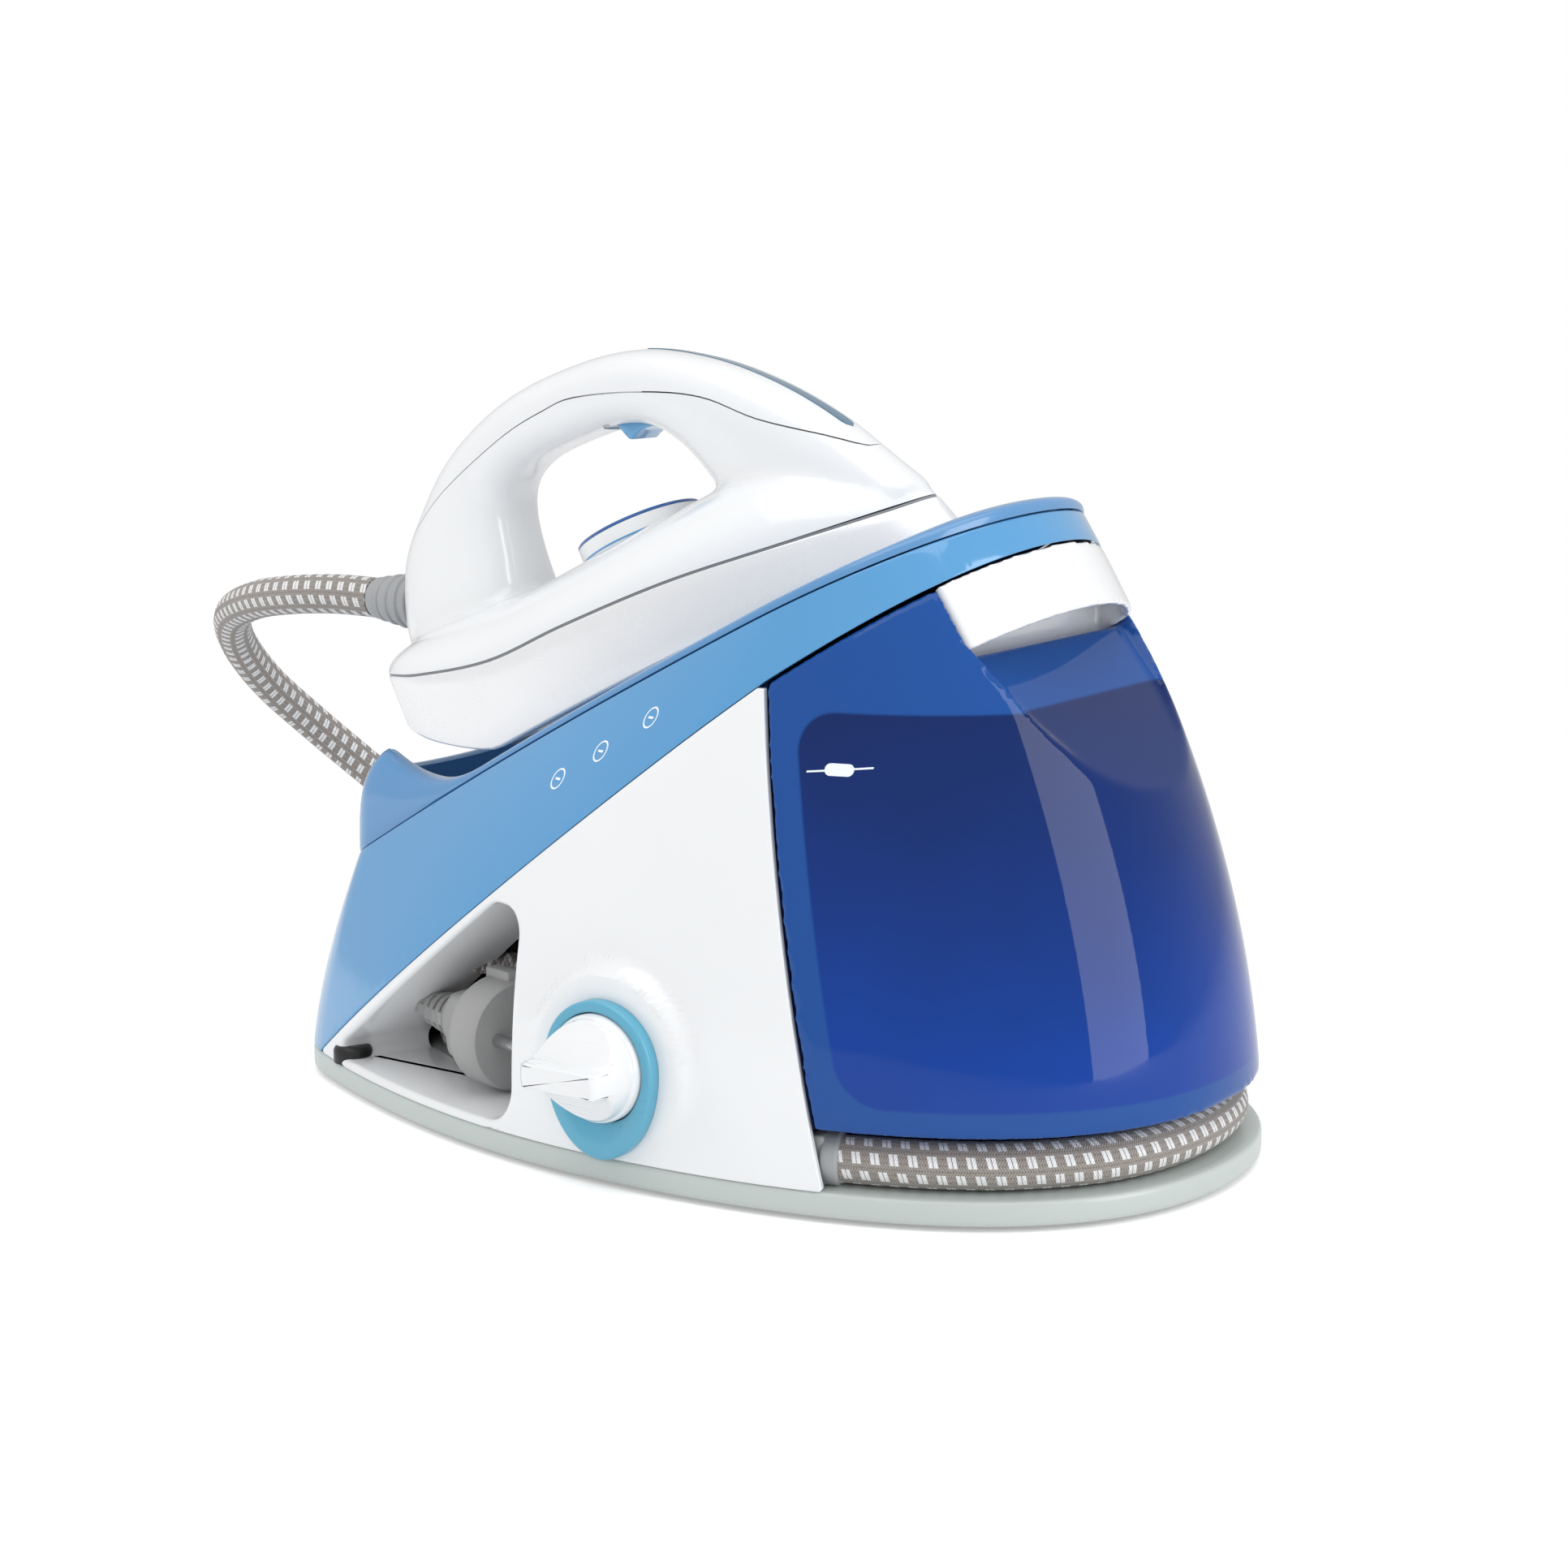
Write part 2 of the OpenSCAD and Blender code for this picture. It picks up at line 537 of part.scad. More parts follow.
// Finger recess: a rounded U seen from the front, with a sloping back
scoop_half = [[50, 216], [52.8, 186], [50, 176], [46, 165], [40, 155], [33, 146], [25, 140], [12, 137.2]];
scoop_x = front - 28;
scoop_z = 137;
module scoop(grow) intersection() {
  rotate([90, 0, 90]) linear_extrude(far) offset(r = grow, $fn = 24)
    polygon(concat(scoop_half, [for (i = [len(scoop_half) - 1:-1:0]) [-scoop_half[i].x, scoop_half[i].y]]));
  side_prism([[scoop_x - grow, scoop_z - grow], [far, scoop_z - grow], [far, 230],
    [grip_x - seam - grow, 230], [grip_x - seam - grow, scoop_z + scoop_x - grip_x + seam]]);
}
module tank_shell() color("darkblue") placed() difference() {
  intersection() {
    body_solid(0);
    tank_outline(tank_gap, tank_floor, seam);
  }
  band_region(-1, grip_h + seam, grip_x - seam, grip_half + seam);
  scoop(0);
  along_x(0, edge_x(socket_z) + 8, 8.05, socket_y, socket_z);
  on_fill() translate([0, 0, -12]) cylinder(24, 9.05, 9.05);
  difference() {
    intersection() {
      body_solid(tank_wall);
      tank_outline(tank_gap + tank_wall, tank_floor + tank_wall, seam + tank_wall);
    }
    band_region(-9, grip_h + seam + tank_wall, grip_x - seam - tank_wall, grip_half + seam + tank_wall);
    scoop(tank_wall);
  }
}
module tank_grip() color("white") placed() difference() {
  intersection() {
    body_solid(0);
    band_region(seam, grip_h, grip_x, grip_half);
  }
  intersection() {
    body_solid(3.2);
    band_region(seam + 3, grip_h + 4, grip_x + 3, grip_half - 3);
  }
}
valve_x = edge_x(socket_z) + tank_gap + tank_wall + 1.5;
module tank_valve_body() color("white") placed() difference() {
  union() {
    along_x(socket_x - socket_len + 6, valve_x + 4, 8, socket_y, socket_z);
    along_x(valve_x + 1.5, valve_x + 5, 12, socket_y, socket_z);
  }
  along_x(0, far, 3 + run_fit, socket_y, socket_z);
}
module tank_valve_stem() color("silver") placed() {
  along_x(socket_x - socket_len + 5, valve_x + 9, 3, socket_y, socket_z);
  along_x(valve_x + 5.4, valve_x + 9, 7, socket_y, socket_z);
}
module tank_valve_spring() color("gray") placed() {
  for (i = [0:3]) translate([valve_x + 13.6 + i * 2.5, socket_y, socket_z]) rotate([0, 90, 0])
    rotate_extrude($fn = 24) translate([5.2, 0]) circle(1.2, $fn = 12);
  along_x(valve_x + 22.4, valve_x + 25, 9.5, socket_y, socket_z);
  for (s = [-1, 1]) box([valve_x + 5.1, socket_y - 2, socket_z + s * 9 - 1],
    [valve_x + 24, socket_y + 2, socket_z + s * 9 + 1]);
}
// Filler on the sloping top of the tank
plug_at = [82, 30];
module on_fill() translate([plug_at.x, plug_at.y, band_z(plug_at.x) - seam])
  rotate([0, -atan(band_slope), 0]) children();
module tank_fill_plug() color("dimgray") placed() on_fill() {
  translate([0, 0, -8]) cylinder(11, 9, 9);
  translate([0, 0, 0.1]) cylinder(4, 12, 12);
}

/* Iron group, drawn with the sole at z = 0, heel at -x and nose at +x */
heel_x = -110;
nose_x = heel_x + iron_l;
iron_segs = [
  [[nose_x, 0], [nose_x - 1, -12], [98, 17 - iron_half], [50, 7 - iron_half]],
  [[50, 7 - iron_half], [8, -iron_half - 2], [-46, -iron_half - 1], [-80, 3 - iron_half]],
  [[-80, 3 - iron_half], [-101, 7 - iron_half], [heel_x + 1, -30], [heel_x, 0]]];
iron_n = 48;
ius = [for (i = [0:iron_n - 1]) 3 - 6 * i / iron_n];
function iron_normal(u) = abs(u) < 0.001 ? [1, 0] : abs(u) > 2.999 ? [-1, 0]
  : let(t = on_outline(iron_segs, u + 0.004) - on_outline(iron_segs, u - 0.004))
    unit([t.y, -t.x]) * -1;
function iron_in(u, off) = on_outline(iron_segs, u) - off * iron_normal(u);
function sole_in(u, off) = let(p = iron_in(u, off + 3)) [p.x < 0 ? p.x * 0.55 : p.x, p.y * 0.94];
function parting(x) = lookup(x, [[-112, 54], [-93, 48.5], [-77, 42.5], [-39, 33], [-2, 31], [46, 27.5],
  [94, 21.5], [128, 18.5], [141, 18]]);
function hem(x) = 2 + 32 * pow(clamp01((-50 - x) / 56), 1.3);
function lift(p, z) = [p.x, p.y, z];
module soleplate() color("silver") placed() on_iron() difference() {
  translate([0, 0, 0]) linear_extrude(sole_t) polygon([for (u = ius) sole_in(u, 0.5)]);
  for (k = [0:5]) for (s = [-1, 1])
    translate([100 - k * 24, s * (8 + k * 5), -1]) cylinder(sole_t + 2, 1.6, 1.6, $fn = 16);
}
module iron_heater() color("gray") placed() on_iron() difference() {
  union() {
    translate([0, 0, sole_t + 0.05]) linear_extrude(12)
      polygon([for (u = ius) let(p = sole_in(u, 0.5)) [p.x * 0.88, p.y * 0.85]]);
    translate([-40, 0, sole_t + 10]) cylinder(20, 7, 7);
  }
  for (k = [0:5]) for (s = [-1, 1])
    translate([100 - k * 24, s * (8 + k * 5), 0]) cylinder(sole_t + 6, 1.6, 1.6, $fn = 16);
}
module iron_skirt() color("silver") placed() on_iron() loop_of_rings([
  [for (u = ius) let(p = iron_in(u, 2.2)) lift(p, parting(p.x) - 0.2)],
  [for (u = ius) let(p = iron_in(u, 2.2)) lift(p, mix(parting(p.x), hem(p.x), 0.5))],
  [for (u = ius) let(p = iron_in(u, 3.8)) lift(p, hem(p.x) + 2.2)],
  [for (u = ius) lift(sole_in(u, 0.1), 4.2)],
  [for (u = ius) lift(sole_in(u, 0.1), 2)],
  [for (u = ius) let(p = iron_in(u, 1.5)) lift(p, hem(p.x))],
  [for (u = ius) let(p = iron_in(u, 0)) lift(p, mix(parting(p.x), hem(p.x), 0.5))],
  [for (u = ius) let(p = iron_in(u, 0)) lift(p, parting(p.x) - 0.2)]]);
// White housing: a boat-shaped cover with the closed handle standing on it
function crown(x) = lookup(x, [[-90, 64], [-48, 59], [-25, 56], [45, 56], [60, 57], [88, 57], [100, 54]]);
function boat_pt(u, a, off) =
  let(p = iron_in(u, 0), q = [p.x * 0.72 - 3, p.y * 0.17], c = cos(a), s = sin(a),
      m = [mix(q.x, p.x, c), mix(q.y, p.y, c)] - off * iron_normal(u) * (0.3 + 0.7 * c))
  lift(m, mix(parting(p.x), crown(q.x), s) - off * s);
boat_a = [0, 15, 30, 45, 60, 75, 90];
module boat(off, drop) {
  rings = concat([[for (u = ius) boat_pt(u, 0, off) - [0, 0, drop]]],
    [for (a = boat_a) [for (u = ius) boat_pt(u, a, off)]]);
  r = drop > 0 ? rings : [for (i = [1:len(rings) - 1]) rings[i]];
  tube_of_rings(r, [0, 0, 30 - drop], [0, 0, crown(0) - off]);
}
// Stations of the handle in side view: outer point, inner point, half width
arch_stations = [[[131, 24], [72, 24], 15], [[123, 37], [60, 42], 16], [[109, 60], [57, 60], 16.5],
  [[91, 82], [50, 79], 17], [[69, 102], [40, 90], 17.5], [[43, 118], [25, 96], 18],
  [[14, 126], [3, 100], 18], [[-21, 128.5], [-21, 102], 18], [[-56, 121], [-36, 98], 18.5],
  [[-83, 105], [-43, 88], 20], [[-99, 91], [-46, 74], 22], [[-111, 68], [-48, 62], 25],
  [[-110, 46], [-50, 44], 27]];
arch_m = 2;
arch_k = 16;
function cat(a, b, c, d, t) = 0.5 * (2 * b + (c - a) * t + (2 * a - 5 * b + 4 * c - d) * t * t
  + (3 * b - a - 3 * c + d) * t * t * t);
function station(list, i) = list[max(0, min(len(list) - 1, i))];
function along(list, v) = let(i = min(len(list) - 2, floor(v)), t = v - i)
  cat(station(list, i - 1), station(list, i), station(list, i + 1), station(list, i + 2), t);
arch_flat = [for (s = arch_stations) [s[0].x, s[0].y, s[1].x, s[1].y, s[2]]];
// Rounded box section between the outer and the inner point
function arch_ring(v, grow) =
  let(f = along(arch_flat, v), o = [f[0], f[1]], i = [f[2], f[3]], c = (o + i) / 2, d = unit(o - i),
      h = norm(o - i) / 2 + grow, w = f[4] + grow)
  [for (k = [0:arch_k - 1]) let(a = 360 * k / arch_k,
      cs = sign(cos(a)) * pow(abs(cos(a)), 0.75), sn = sign(sin(a)) * pow(abs(sin(a)), 0.75),
      p = c + d * h * cs) [p.x, w * sn, p.y]];
module handle_arch(grow = 0) {
  last = (len(arch_stations) - 1) * arch_m;
  rings = [for (i = [0:last]) arch_ring(i / arch_m, grow)];
  tube_of_rings(rings, mean_of(rings[0]), mean_of(rings[last]));
}
// Everything in front of and above this line is the handle's cover
cap_line = [[14, 140], [16, 112], [45, 100], [68, 87], [86, 70], [108, 53], [118, 44]];
module cap_region(by)
  side_prism(concat([for (p = cap_line) p + by * [0.6, 0.8]], [[160, 44 + by], [160, 140]]));
dial_x = 9;
dial_z = 58.2;
trig_pin = [20, 99];
cuff_z = rim_h + 8;
tube_x = -84;
tube_top = 74;
module handle_cuts() {
  box([12, -trigger_w / 2 - 0.5, 70], [43, trigger_w / 2 + 0.5, 104]);
  along_y(-11, 11, 1.5 + run_fit, trig_pin.x, trig_pin.y);
}
module iron_housing() color("white") placed() on_iron() difference() {
  union() {
    difference() {
      boat(0, 0);
      boat(2.6, 12);
    }
    intersection() {
      handle_arch();
      union() {
        translate([0, 0, 22]) linear_extrude(far) polygon([for (u = ius) iron_in(u, 2.6)]);
        box([-far, -far, parting(heel_x) + 1], [0, far, far]);
      }
    }
    translate([dial_x, 0, 48]) cylinder(dial_z - 48.8, 25.5, 25.5);
  }
  cap_region(0);
  handle_cuts();
  translate([dial_x, 0, 0]) cylinder(far, 4 + run_fit, 4 + run_fit);
  translate([tube_x, 0, 0]) cylinder(tube_top, 6, 6);
  rotate([0, tilt, 0]) translate([0, 0, cuff_z - iron_at.z]) {
    along_x(-far, -104, 6);
    along_x(-far, -116.5, 13.1);
  }
}
module handle_cover() color("white") placed() on_iron() difference() {
  intersection() {
    handle_arch();
    cap_region(seam);
  }
  handle_cuts();
  inlay_strip(0.15);
}
// Strip let into the ridge of the cover
inlay_v0 = 1.8;
inlay_v1 = 5;
module inlay_strip(grow) {
  n = 10;
  rings = [for (i = [0:n]) let(v = mix(inlay_v0, inlay_v1, i / n), f = along(arch_flat, v),
      o = [f[0], f[1]], d = unit(o - [f[2], f[3]]), a = o + d * 0.6, b = o - d * (2.2 + grow), w = 6 + grow)
    [[a.x, -w, a.y], [a.x, w, a.y], [b.x, w, b.y], [b.x, -w, b.y]]];
  tube_of_rings(rings, mean_of(rings[0]), mean_of(rings[n]));
}
module handle_inlay() color("steelblue") placed() on_iron() inlay_strip(0);
module steam_trigger() color("gray") placed() on_iron() difference() {
  side_prism([[14, 97], [14, 102.5], [24, 102.5], [40, 92], [41, 85.5], [38, 83], [30, 88], [20, 95.5]],
    -trigger_w / 2, trigger_w / 2);
  along_y(-far, far, 1.5 + run_fit, trig_pin.x, trig_pin.y);
}
module trigger_pin() color("silver") placed() on_iron()
  along_y(-11, 11, 1.5, trig_pin.x, trig_pin.y);
module trigger_switch() color("dimgray") placed() on_iron() box([32, -5, 99.8], [42, 5, 103.8]);
module heat_dial() color("white") placed() on_iron() translate([dial_x, 0, 0]) {
  translate([0, 0, dial_z]) cylinder(4.6, dial_r, dial_r);
  translate([0, 0, 42]) cylinder(dial_z - 41, 4, 4);
}
module iron_thermostat() color("dimgray") placed() on_iron()
  translate([dial_x, 0, sole_t + 12.1]) cylinder(25.4, 13, 13);
module iron_steam_tube() color("white") placed() on_iron()
  swept(route([[-47.1, 0, 27], [-62, 0, 27], [-76, 0, 31], [-83, 0, 42], [-84, 0, 56], [-86, 0, 67],
    [-93, 0, 74]], 2), 3.2);
module iron_screws() color("silver") placed() on_iron() for (s = [-1, 1])
  translate([70, s * 14, sole_t + 12.1]) cylinder(12, 4, 4);
// Ribbed strain relief, level with the ground
module hose_cuff() color("gray") placed() translate([0, 0, cuff_z]) difference() {
  union() {
    translate([-193, 0, 0]) rotate([0, 90, 0]) cylinder(34, hose_d / 2, 12);
    for (i = [0:4]) along_x(-188 + 5.6 * i, -185.4 + 5.6 * i, 9 + i);
    along_x(-160, -157, 13);
  }
  along_x(-189, 0, 3.6);
}

/* Calc collector: the knob turns in the seal's carrier, which it draws out with it */
module calc_seal() color("dimgray") placed() difference() {
  along_y(boss_y + 5, boss_y + 9, port_r - 0.4, calc_x, calc_z);
  along_y(-far, 0, 9 + run_fit, calc_x, calc_z);
}
module calc_knob() color("white") placed() {
  along_y(boss_y - 7, boss_y - 0.6, knob_r, calc_x, calc_z);
  intersection() {
    box([calc_x - knob_r, boss_y - knob_out, calc_z - 5], [calc_x + knob_r, boss_y - 6, calc_z + 5]);
    along_y(boss_y - knob_out, 0, knob_r - 1, calc_x, calc_z);
  }
}
module calc_collector() color("silver") placed() difference() {
  union() {
    along_y(boss_y - 0.5, boss_y + 79, 9, calc_x, calc_z);
    along_y(boss_y + 9.4, boss_y + 15, 13.4, calc_x, calc_z);
    for (y = [25, 41, 57, 73]) along_y(boss_y + y, boss_y + y + 3, 13, calc_x, calc_z);
  }
  for (a = [0, 60, 120]) translate([calc_x, boss_y + 51, calc_z]) rotate([0, a, 0])
    translate([-far, -22, -3]) cube([2 * far, 44, 6]);
}

/* Cords: routes through hand-set points, relative to the station's centre plane */
// In the groove the hose keeps this far inside the base outline, at these places round it
hose_in = 13;
groove_us = [0.62, 0.54, 0.43, 0.28, 0.14, 0, -0.14, -0.28, -0.43, -0.57, -0.71, -0.85, -1, -1.28, -1.57];
function groove_pt(u) = let(p = on_outline(base_segs, u) - hose_in * plan_normal(u)) [p.x, p.y, gland_z];
// The gland points straight at the first of them
gland_yaw = atan2(groove_pt(groove_us[0]).y - gland_y, groove_pt(groove_us[0]).x - gland_x);
hose_route = concat([[gland_x, gland_y, gland_z]], [for (u = groove_us) groove_pt(u)], [
  [-130, 78, 19], [-162, 77, 19], [-187, 82, 13], [-209, 97, 9], [-224, 119, 9], [-230, 146, 9], [-230, 180, 9], [-230, 215, 9],
  [-216, 262, 9], [-182, 293, 9], [-142, 303, 9], [-98, 291, 9], [-66, 259, 9], [-54, 215, 9],
  [-66, 171, 9], [-98, 139, 9], [-142, 127, 9], [-175, 128, 12], [-205, 131, 19], [-232, 134, 27],
  [-258, 135, 38], [-283, 131, 54], [-309, 119, cuff_z - 100], [-326, 99, cuff_z - 76],
  [-331, 75, cuff_z - 54], [-323, 50, cuff_z - 33], [-301, 26, cuff_z - 17], [-270, 9, cuff_z - 7],
  [-240, 1, cuff_z - 2], [-215, 0, cuff_z], [-193.3, 0, cuff_z]]);
lead_route_in = [[grommet.x, grommet.y + 9, 21], [grommet.x + 4, grommet.y + 9, 32],
  [-128, -67, 42], [-114, -67, 49], [-97, -63, 52], [-80, -51, 52], [-66, -36, 48],
  [-58, -21, 42], [-56, -7, 39]];
lead_route_out = [[-112.5, -66, 34], [-125, -58, 36], [-137, -44, 40], [-141, -27, 41.5],
  [-139, -9, 41.5], [-130, 6, 41.5], [-117, 15, 41], [-102, 20, 39]];
function route(list, m) = concat([for (i = [0:(len(list) - 1) * m - 1]) along(list, i / m)],
  [list[len(list) - 1]]);
function tangent(pts, i) = unit(pts[min(len(pts) - 1, i + 1)] - pts[max(0, i - 1)]);
// Carries the first ring's across direction along, so the tube doesn't twist
function frames(pts, i = 0, a = [0, 0, 1]) = i >= len(pts) ? []
  : let(t = tangent(pts, i), b = unit(a - (a * t) * t)) concat([[b, cross(t, b)]], frames(pts, i + 1, b));
module swept(pts, r, sides = 8) {
  f = frames(pts);
  rings = [for (i = [0:len(pts) - 1]) [for (k = [0:sides - 1]) let(a = 360 * k / sides)
    pts[i] + r * (cos(a) * f[i][0] + sin(a) * f[i][1])]];
  tube_of_rings(rings, pts[0], pts[len(pts) - 1]);
}
module steam_hose() color("lightgray") placed() swept(hose_route, hose_d / 2, 10);
module mains_lead() color("black") placed() {
  swept(lead_route_in, lead_d / 2);
  swept(lead_route_out, lead_d / 2);
}
coil_at = [-92, -12];
module mains_coil() color("black") placed() translate([coil_at.x, coil_at.y, tray[0].z + 0.2])
  rotate_extrude() translate([38, 12]) offset(r = 3) square([10, 18], center = true);
// Plug, lying askew in the pocket
plug_pos = [-84, -73, 34.5];
module on_plug() translate(plug_pos) rotate([0, 0, -14]) children();
module mains_plug() color("black") placed() on_plug() {
  along_x(-6, 12, 12.5);
  along_x(12, 30, plug_r);
  box([14, -3, 0], [28, 3, plug_r + 3]);
}
module plug_relief() color("black") placed() on_plug() difference() {
  translate([-28, 0, 0]) rotate([0, 90, 0]) cylinder(21.9, 5.5, 9);
  for (i = [0:3]) translate([-25 + i * 5, -far, 0]) {
    translate([0, 0, 2.5]) cube([2, 2 * far, far]);
    translate([0, 0, -2.5 - far]) cube([2, 2 * far, far]);
  }
}
module plug_pins() color("silver") placed() on_plug() for (s = [-1, 1])
  along_x(30.1, 47, 2.4, s * 9.5);

base_plate();
base_feet();
base_screws();
tank_platform();
tank_bulkhead();
side_panel_near();
side_panel_far();
upper_shell();
iron_deck();
deck_pads();
cord_pocket();
calc_ring();
boiler_body();
boiler_element();
boiler_thermostat();
safety_valve();
boiler_saddles();
calc_port();
steam_valve();
water_pump();
control_board();
feed_tube();
boiler_tube();
steam_tube();
tank_socket();
switch_bezel();
power_rocker();
cord_grommet();
hose_gland();
tank_shell();
tank_grip();
tank_valve_body();
tank_valve_stem();
tank_valve_spring();
tank_fill_plug();
soleplate();
iron_heater();
iron_skirt();
iron_housing();
handle_cover();
handle_inlay();
steam_trigger();
trigger_pin();
trigger_switch();
heat_dial();
iron_thermostat();
iron_steam_tube();
iron_screws();
hose_cuff();
calc_seal();
calc_knob();
calc_collector();
steam_hose();
mains_lead();
mains_coil();
mains_plug();
plug_relief();
plug_pins();
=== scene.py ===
import math

import bmesh
import bpy
from mathutils import Matrix, Vector


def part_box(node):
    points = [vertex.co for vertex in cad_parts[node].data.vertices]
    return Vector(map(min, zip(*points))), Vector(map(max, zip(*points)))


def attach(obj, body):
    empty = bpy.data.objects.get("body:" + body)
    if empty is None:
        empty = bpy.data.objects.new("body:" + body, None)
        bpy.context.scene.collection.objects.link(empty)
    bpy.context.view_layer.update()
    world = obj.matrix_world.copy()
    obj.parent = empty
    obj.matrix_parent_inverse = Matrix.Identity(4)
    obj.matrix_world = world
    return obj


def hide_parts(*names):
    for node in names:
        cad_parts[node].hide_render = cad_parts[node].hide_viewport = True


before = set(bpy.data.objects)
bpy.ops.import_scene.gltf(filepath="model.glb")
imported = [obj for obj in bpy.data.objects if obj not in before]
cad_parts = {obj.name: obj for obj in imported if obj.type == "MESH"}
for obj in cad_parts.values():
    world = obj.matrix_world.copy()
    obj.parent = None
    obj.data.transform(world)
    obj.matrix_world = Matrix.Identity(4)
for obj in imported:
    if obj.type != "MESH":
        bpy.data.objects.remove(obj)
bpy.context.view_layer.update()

bl_info = {
    "name": "Steam generator iron",
    "version": (1, 0, 0),
    "blender": (4, 5, 0),
    "location": "View3D > Sidebar > Steam Iron",
    "description": "Builds the covers, tank, iron and cords of a steam generator iron",
    "category": "Add Mesh",
}

MM = 0.001
PLATE_LOW, PLATE_HIGH = (Vector(p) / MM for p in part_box("base_plate"))
MID_Y = (PLATE_LOW.y + PLATE_HIGH.y) / 2
TO_ROW = Matrix.Scale(MM, 4) @ Matrix.Translation((0, MID_Y, 0))
IRON_TILT = 27.0
IRON_AT = Vector((-40, 0, 154))
IRON = Matrix.Translation(IRON_AT) @ Matrix.Rotation(-math.radians(IRON_TILT), 4, "Y")

# ---- curves of the body, in millimetres about the station's centre plane ----
PLATE_TOP = 10.5
WALL = 2.5
SEAM = 0.5
RIM_H = 169.0
# Near half of the body's outline at its foot and at its rim, from front to back
BASE = (
    ((190, 0), (190, -77.05), (121, -118), (7, -118)),
    ((7, -118), (-55, -118), (-115, -96), (-158, -75)),
    ((-158, -75), (-182, -63), (-190, -40), (-190, 0)),
)
RIM = (
    ((116, 0), (116, -45), (90, -77), (42, -77)),
    ((42, -77), (-5, -77), (-105, -62), (-151, -54)),
    ((-151, -54), (-167, -51), (-172, -30), (-172, 0)),
)
# Lean of the edge between side panel and tank, and its place at z = 0
TANK_LEAN = 0.243
EDGE_X0 = 99.0
# Lower line of the light blue band
BAND_DROP = 33.5
BAND_SLOPE = 0.67
KNEE_X = (EDGE_X0 - TANK_LEAN * (RIM_H - BAND_DROP)) / (1 + TANK_LEAN * BAND_SLOPE)
DIAG_FOOT = -161.0
TANK_FLOOR = 30.8
GROOVE_TOP = 30.5
TANK_GAP = 0.8
TANK_WALL = 2.6
GRIP_X = 104.0
GRIP_H = 29.0
GRIP_HALF = 54.0
BOSS_Y = -117.0
CALC = (14.0, 43.0)
# Corners of the cord pocket's mouth, with their radii
POCKET = ((-149, 13, 4), (-30, 13, 13), (-36, 87, 11), (-53, 87, 9))


def lerp(a, b, t):
    return a + (b - a) * t


def clamp01(t):
    return max(0.0, min(1.0, t))


def smooth(t):
    t = clamp01(t)
    return t * t * (3 - 2 * t)


def swell(value, power):
    """The value with its size raised to a power and its sign kept."""
    return math.copysign(abs(value) ** power, value)


def catmull(a, b, c, d, t):
    """A smooth step from b to c, where a comes before and d after."""
    return 0.5 * (2 * b + (c - a) * t + (2 * a - 5 * b + 4 * c - d) * t * t
                  + (3 * b - a - 3 * c + d) * t ** 3)


def all_round(n):
    """Places round a closed outline, from its back by the near side to its front and on."""
    return [3 - 6 * k / n for k in range(n)]


def bezier(c, t):
    m = 1 - t
    k = (m * m * m, 3 * m * m * t, 3 * m * t * t, t * t * t)
    return Vector((sum(w * p[0] for w, p in zip(k, c)), sum(w * p[1] for w, p in zip(k, c))))


def half_outline(segs, u):
    i = min(2, int(abs(u)))
    p = bezier(segs[i], abs(u) - i)
    if u < 0:
        p.y = -p.y
    return p


def outline_normal(segs, u):
    if abs(u) < 0.001:
        return Vector((1, 0))
    if abs(u) > 2.996:
        return Vector((-1, 0))
    t = half_outline(segs, u + 0.004) - half_outline(segs, u - 0.004)
    return Vector((-t.y, t.x)).normalized()


def rim_z(x):
    return RIM_H + 0.5 * x - 0.0002 * min(x + 10, 0) ** 2


def rib(u):
    """Foot, bulging control and rim height of the body's wall at u."""
    b = half_outline(BASE, u)
    r = half_outline(RIM, u)
    top = rim_z(r.x)
    control = b + 3.5 * (r - b).normalized()
    return b, control, r, PLATE_TOP + lerp(0.5, 0.4, abs(u) / 3) * (top - PLATE_TOP), top


def env(u, s, off=0.0):
    b, c, r, zc, zr = rib(u)
    a, m, e = (1 - s) ** 2, 2 * s * (1 - s), s * s
    p = a * b + m * c + e * r - off * outline_normal(BASE, u)
    return Vector((p.x, p.y, a * PLATE_TOP + m * zc + e * zr))


def height_share(u, z):
    """The share of the rib, from foot to rim, at which it is at height z."""
    _, _, _, zc, zr = rib(u)
    a, b, c = PLATE_TOP - 2 * zc + zr, 2 * (zc - PLATE_TOP), PLATE_TOP - z
    if abs(a) < 1e-6:
        return -c / b
    return (-b + math.sqrt(max(0.0, b * b - 4 * a * c))) / (2 * a)


GIRTH = [(0.0, 0.0)]
for step in range(300):
    p0, p1 = env(step / 100, 0.5), env((step + 1) / 100, 0.5)
    GIRTH.append((GIRTH[-1][0] + (p1 - p0).to_2d().length, (step + 1) / 100))
HALF_GIRTH = GIRTH[-1][0]


def u_at(a):
    """The place round the body, from its distance a from the front; the near side is positive."""
    a = (a + HALF_GIRTH) % (2 * HALF_GIRTH) - HALF_GIRTH
    low, high = 0, len(GIRTH) - 1
    while high - low > 1:
        mid = (low + high) // 2
        if GIRTH[mid][0] > abs(a):
            high = mid
        else:
            low = mid
    (a0, u0), (a1, u1) = GIRTH[low], GIRTH[high]
    return math.copysign(lerp(u0, u1, (abs(a) - a0) / (a1 - a0)), a)


def wrap(a, z, depth=0.0):
    u = u_at(a)
    return env(u, height_share(u, z), depth)


def round_at(x, z):
    """Distance round the near side at which the body's surface is at x, for a height z."""
    low, high = 0.0, HALF_GIRTH
    for _ in range(26):
        mid = (low + high) / 2
        if wrap(mid, z).x > x:
            low = mid
        else:
            high = mid
    return (low + high) / 2


def edge_x(z):
    return EDGE_X0 - TANK_LEAN * z


def band_z(x):
    return RIM_H - BAND_DROP + BAND_SLOPE * x


KNEE_Z = band_z(KNEE_X)


